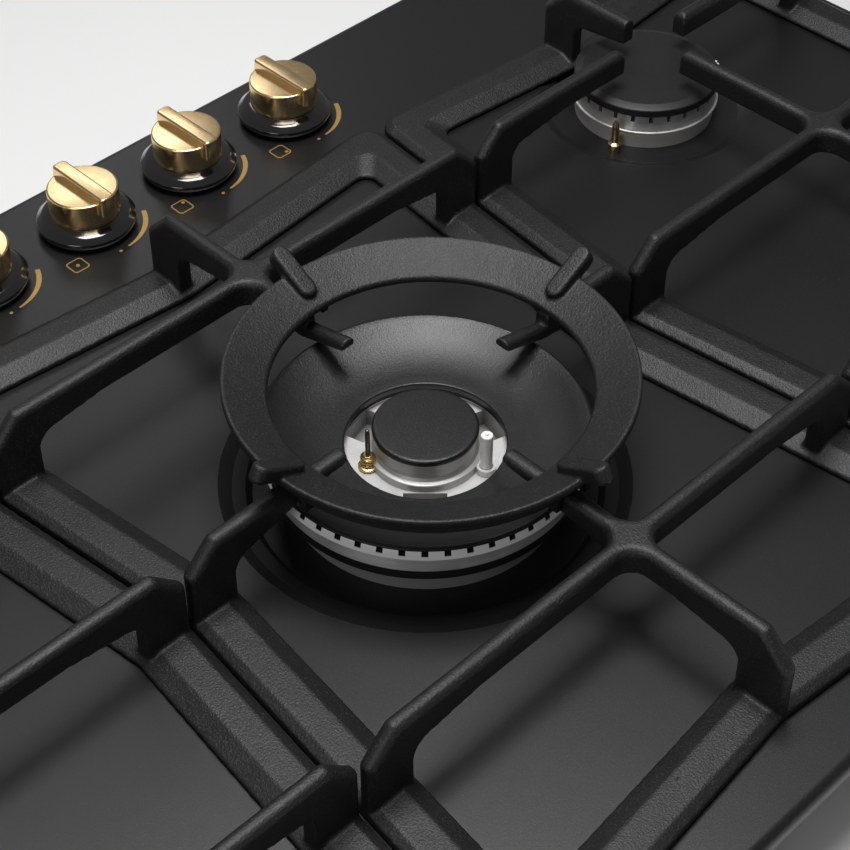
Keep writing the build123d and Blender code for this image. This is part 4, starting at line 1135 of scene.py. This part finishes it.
dress(black_enamel("hob_enamel"), "hob_top")
dress(zinc_steel("zinc_steel"), "bottom_pan", "fixing_clamps", "clamp_screws", "gas_manifold",
      "inlet_pipe")
dress(rubber("seal_foam", (0.05, 0.05, 0.05)), "worktop_seal")
dress(burner_casting("burner_casting", WOK_CENTRE), "wok_burner_cup")
dress(ceramic("electrode_ceramic"), "wok_igniter", "igniters")
dress(brass_fitting("fitting_brass", (0.60, 0.45, 0.22)), "thermocouples", "gas_taps", "gas_inlet")
dress(rubber("pad_rubber", (0.012, 0.012, 0.012)), "centre_grate_pads", "left_grate_pads",
      "right_grate_pads")
dress(moulded_plastic("spark_plastic"), "spark_unit")
dress(stem_steel("stem_steel"), *[f"tap_stem_{i}" for i in range(1, KNOB_COUNT + 1)])
for place_name, (x, y, _) in OUTER_BURNERS.items():
    dress(cast_aluminium(f"cup_casting_{place_name}", (x, y, SURFACE)), f"burner_cup_{place_name}")


# ---- floor, light, camera

FLOOR_REACH = 12.0
FILL = 0.11                  # strength of the even light all round
PALE = 0.17                  # its strength where the camera or gloss sees it
LIGHTS = {                   # place, aim, side and power
    "overhead_softbox": ((-0.04, -0.06, 1.5), (0.0, 0.03, 0.05), 0.7, 23.0),
    "side_softbox": ((1.45, 0.35, 0.85), (0.0, 0.0, 0.05), 0.7, 5.0),
    "knob_card": ((-0.65, -1.24, 0.99), (0.0, -0.216, 0.08), 0.35, 0.9),
}
CAMERA_AT = (0.43484, 0.46434, 0.68338)      # behind the hob and to its right
CAMERA_TURN = (45.89, 0.0, 135.18)
CAMERA_LENS = 83.42
CAMERA_SENSOR = 36.0
CAMERA_NEAR = 0.01


def area_light(name, spot, aim, side, power):
    """Square soft light turned towards its aim."""
    lamp = bpy.data.lights.new(name, "AREA")
    lamp.shape = "RECTANGLE"
    lamp.size = side
    lamp.size_y = side
    lamp.energy = power
    holder = placed(name, lamp)
    holder.location = spot
    holder.rotation_euler = (Vector(aim) - Vector(spot)).to_track_quat("-Z", "Y").to_euler()


def pale_floor():
    """Plain pale floor under the hob."""
    signs = ((-1, -1), (1, -1), (1, 1), (-1, 1))
    corners = [(x * FLOOR_REACH, y * FLOOR_REACH, 0) for x, y in signs]
    mesh = bpy.data.meshes.new("floor")
    mesh.from_pydata(corners, [], [(0, 1, 2, 3)])
    floor = placed("floor", mesh)
    f = Finish("floor_paint", (0.80, 0.80, 0.79), 0.7)
    f.colour(f.mix(f.noise(3.0, 3.0), (0.78, 0.78, 0.775), (0.82, 0.82, 0.81)))
    mesh.materials.append(f.material)


def studio_world():
    """Dim even fill, paler where the camera, gloss or glass sees past the floor."""
    world = bpy.data.worlds.new("studio")
    world.use_nodes = True
    tree = world.node_tree
    shade = tree.nodes["Background"]
    shade.inputs["Color"].default_value = (1, 1, 1, 1)
    rays = tree.nodes.new("ShaderNodeLightPath")
    camera_ray, glass_ray = rays.outputs["Is Camera Ray"], rays.outputs["Is Transmission Ray"]
    seen = maths(tree, "MAXIMUM", camera_ray, glass_ray)
    seen = maths(tree, "MAXIMUM", seen, rays.outputs["Is Glossy Ray"])
    tree.links.new(maths(tree, "MULTIPLY_ADD", seen, PALE - FILL, FILL), shade.inputs["Strength"])
    bpy.context.scene.world = world


def photo_camera():
    """Camera at the photograph's viewing angle."""
    lens = bpy.data.cameras.new("camera")
    lens.lens = CAMERA_LENS
    lens.sensor_width = CAMERA_SENSOR
    lens.sensor_fit = "HORIZONTAL"
    lens.clip_start = CAMERA_NEAR
    camera = placed("camera", lens)
    camera.location = CAMERA_AT
    camera.rotation_euler = [math.radians(angle) for angle in CAMERA_TURN]
    bpy.context.scene.camera = camera


pale_floor()
studio_world()
for light, (spot, aim, side, power) in LIGHTS.items():
    area_light(light, spot, aim, side, power)
photo_camera()
bpy.context.scene.view_settings.view_transform = "Standard"
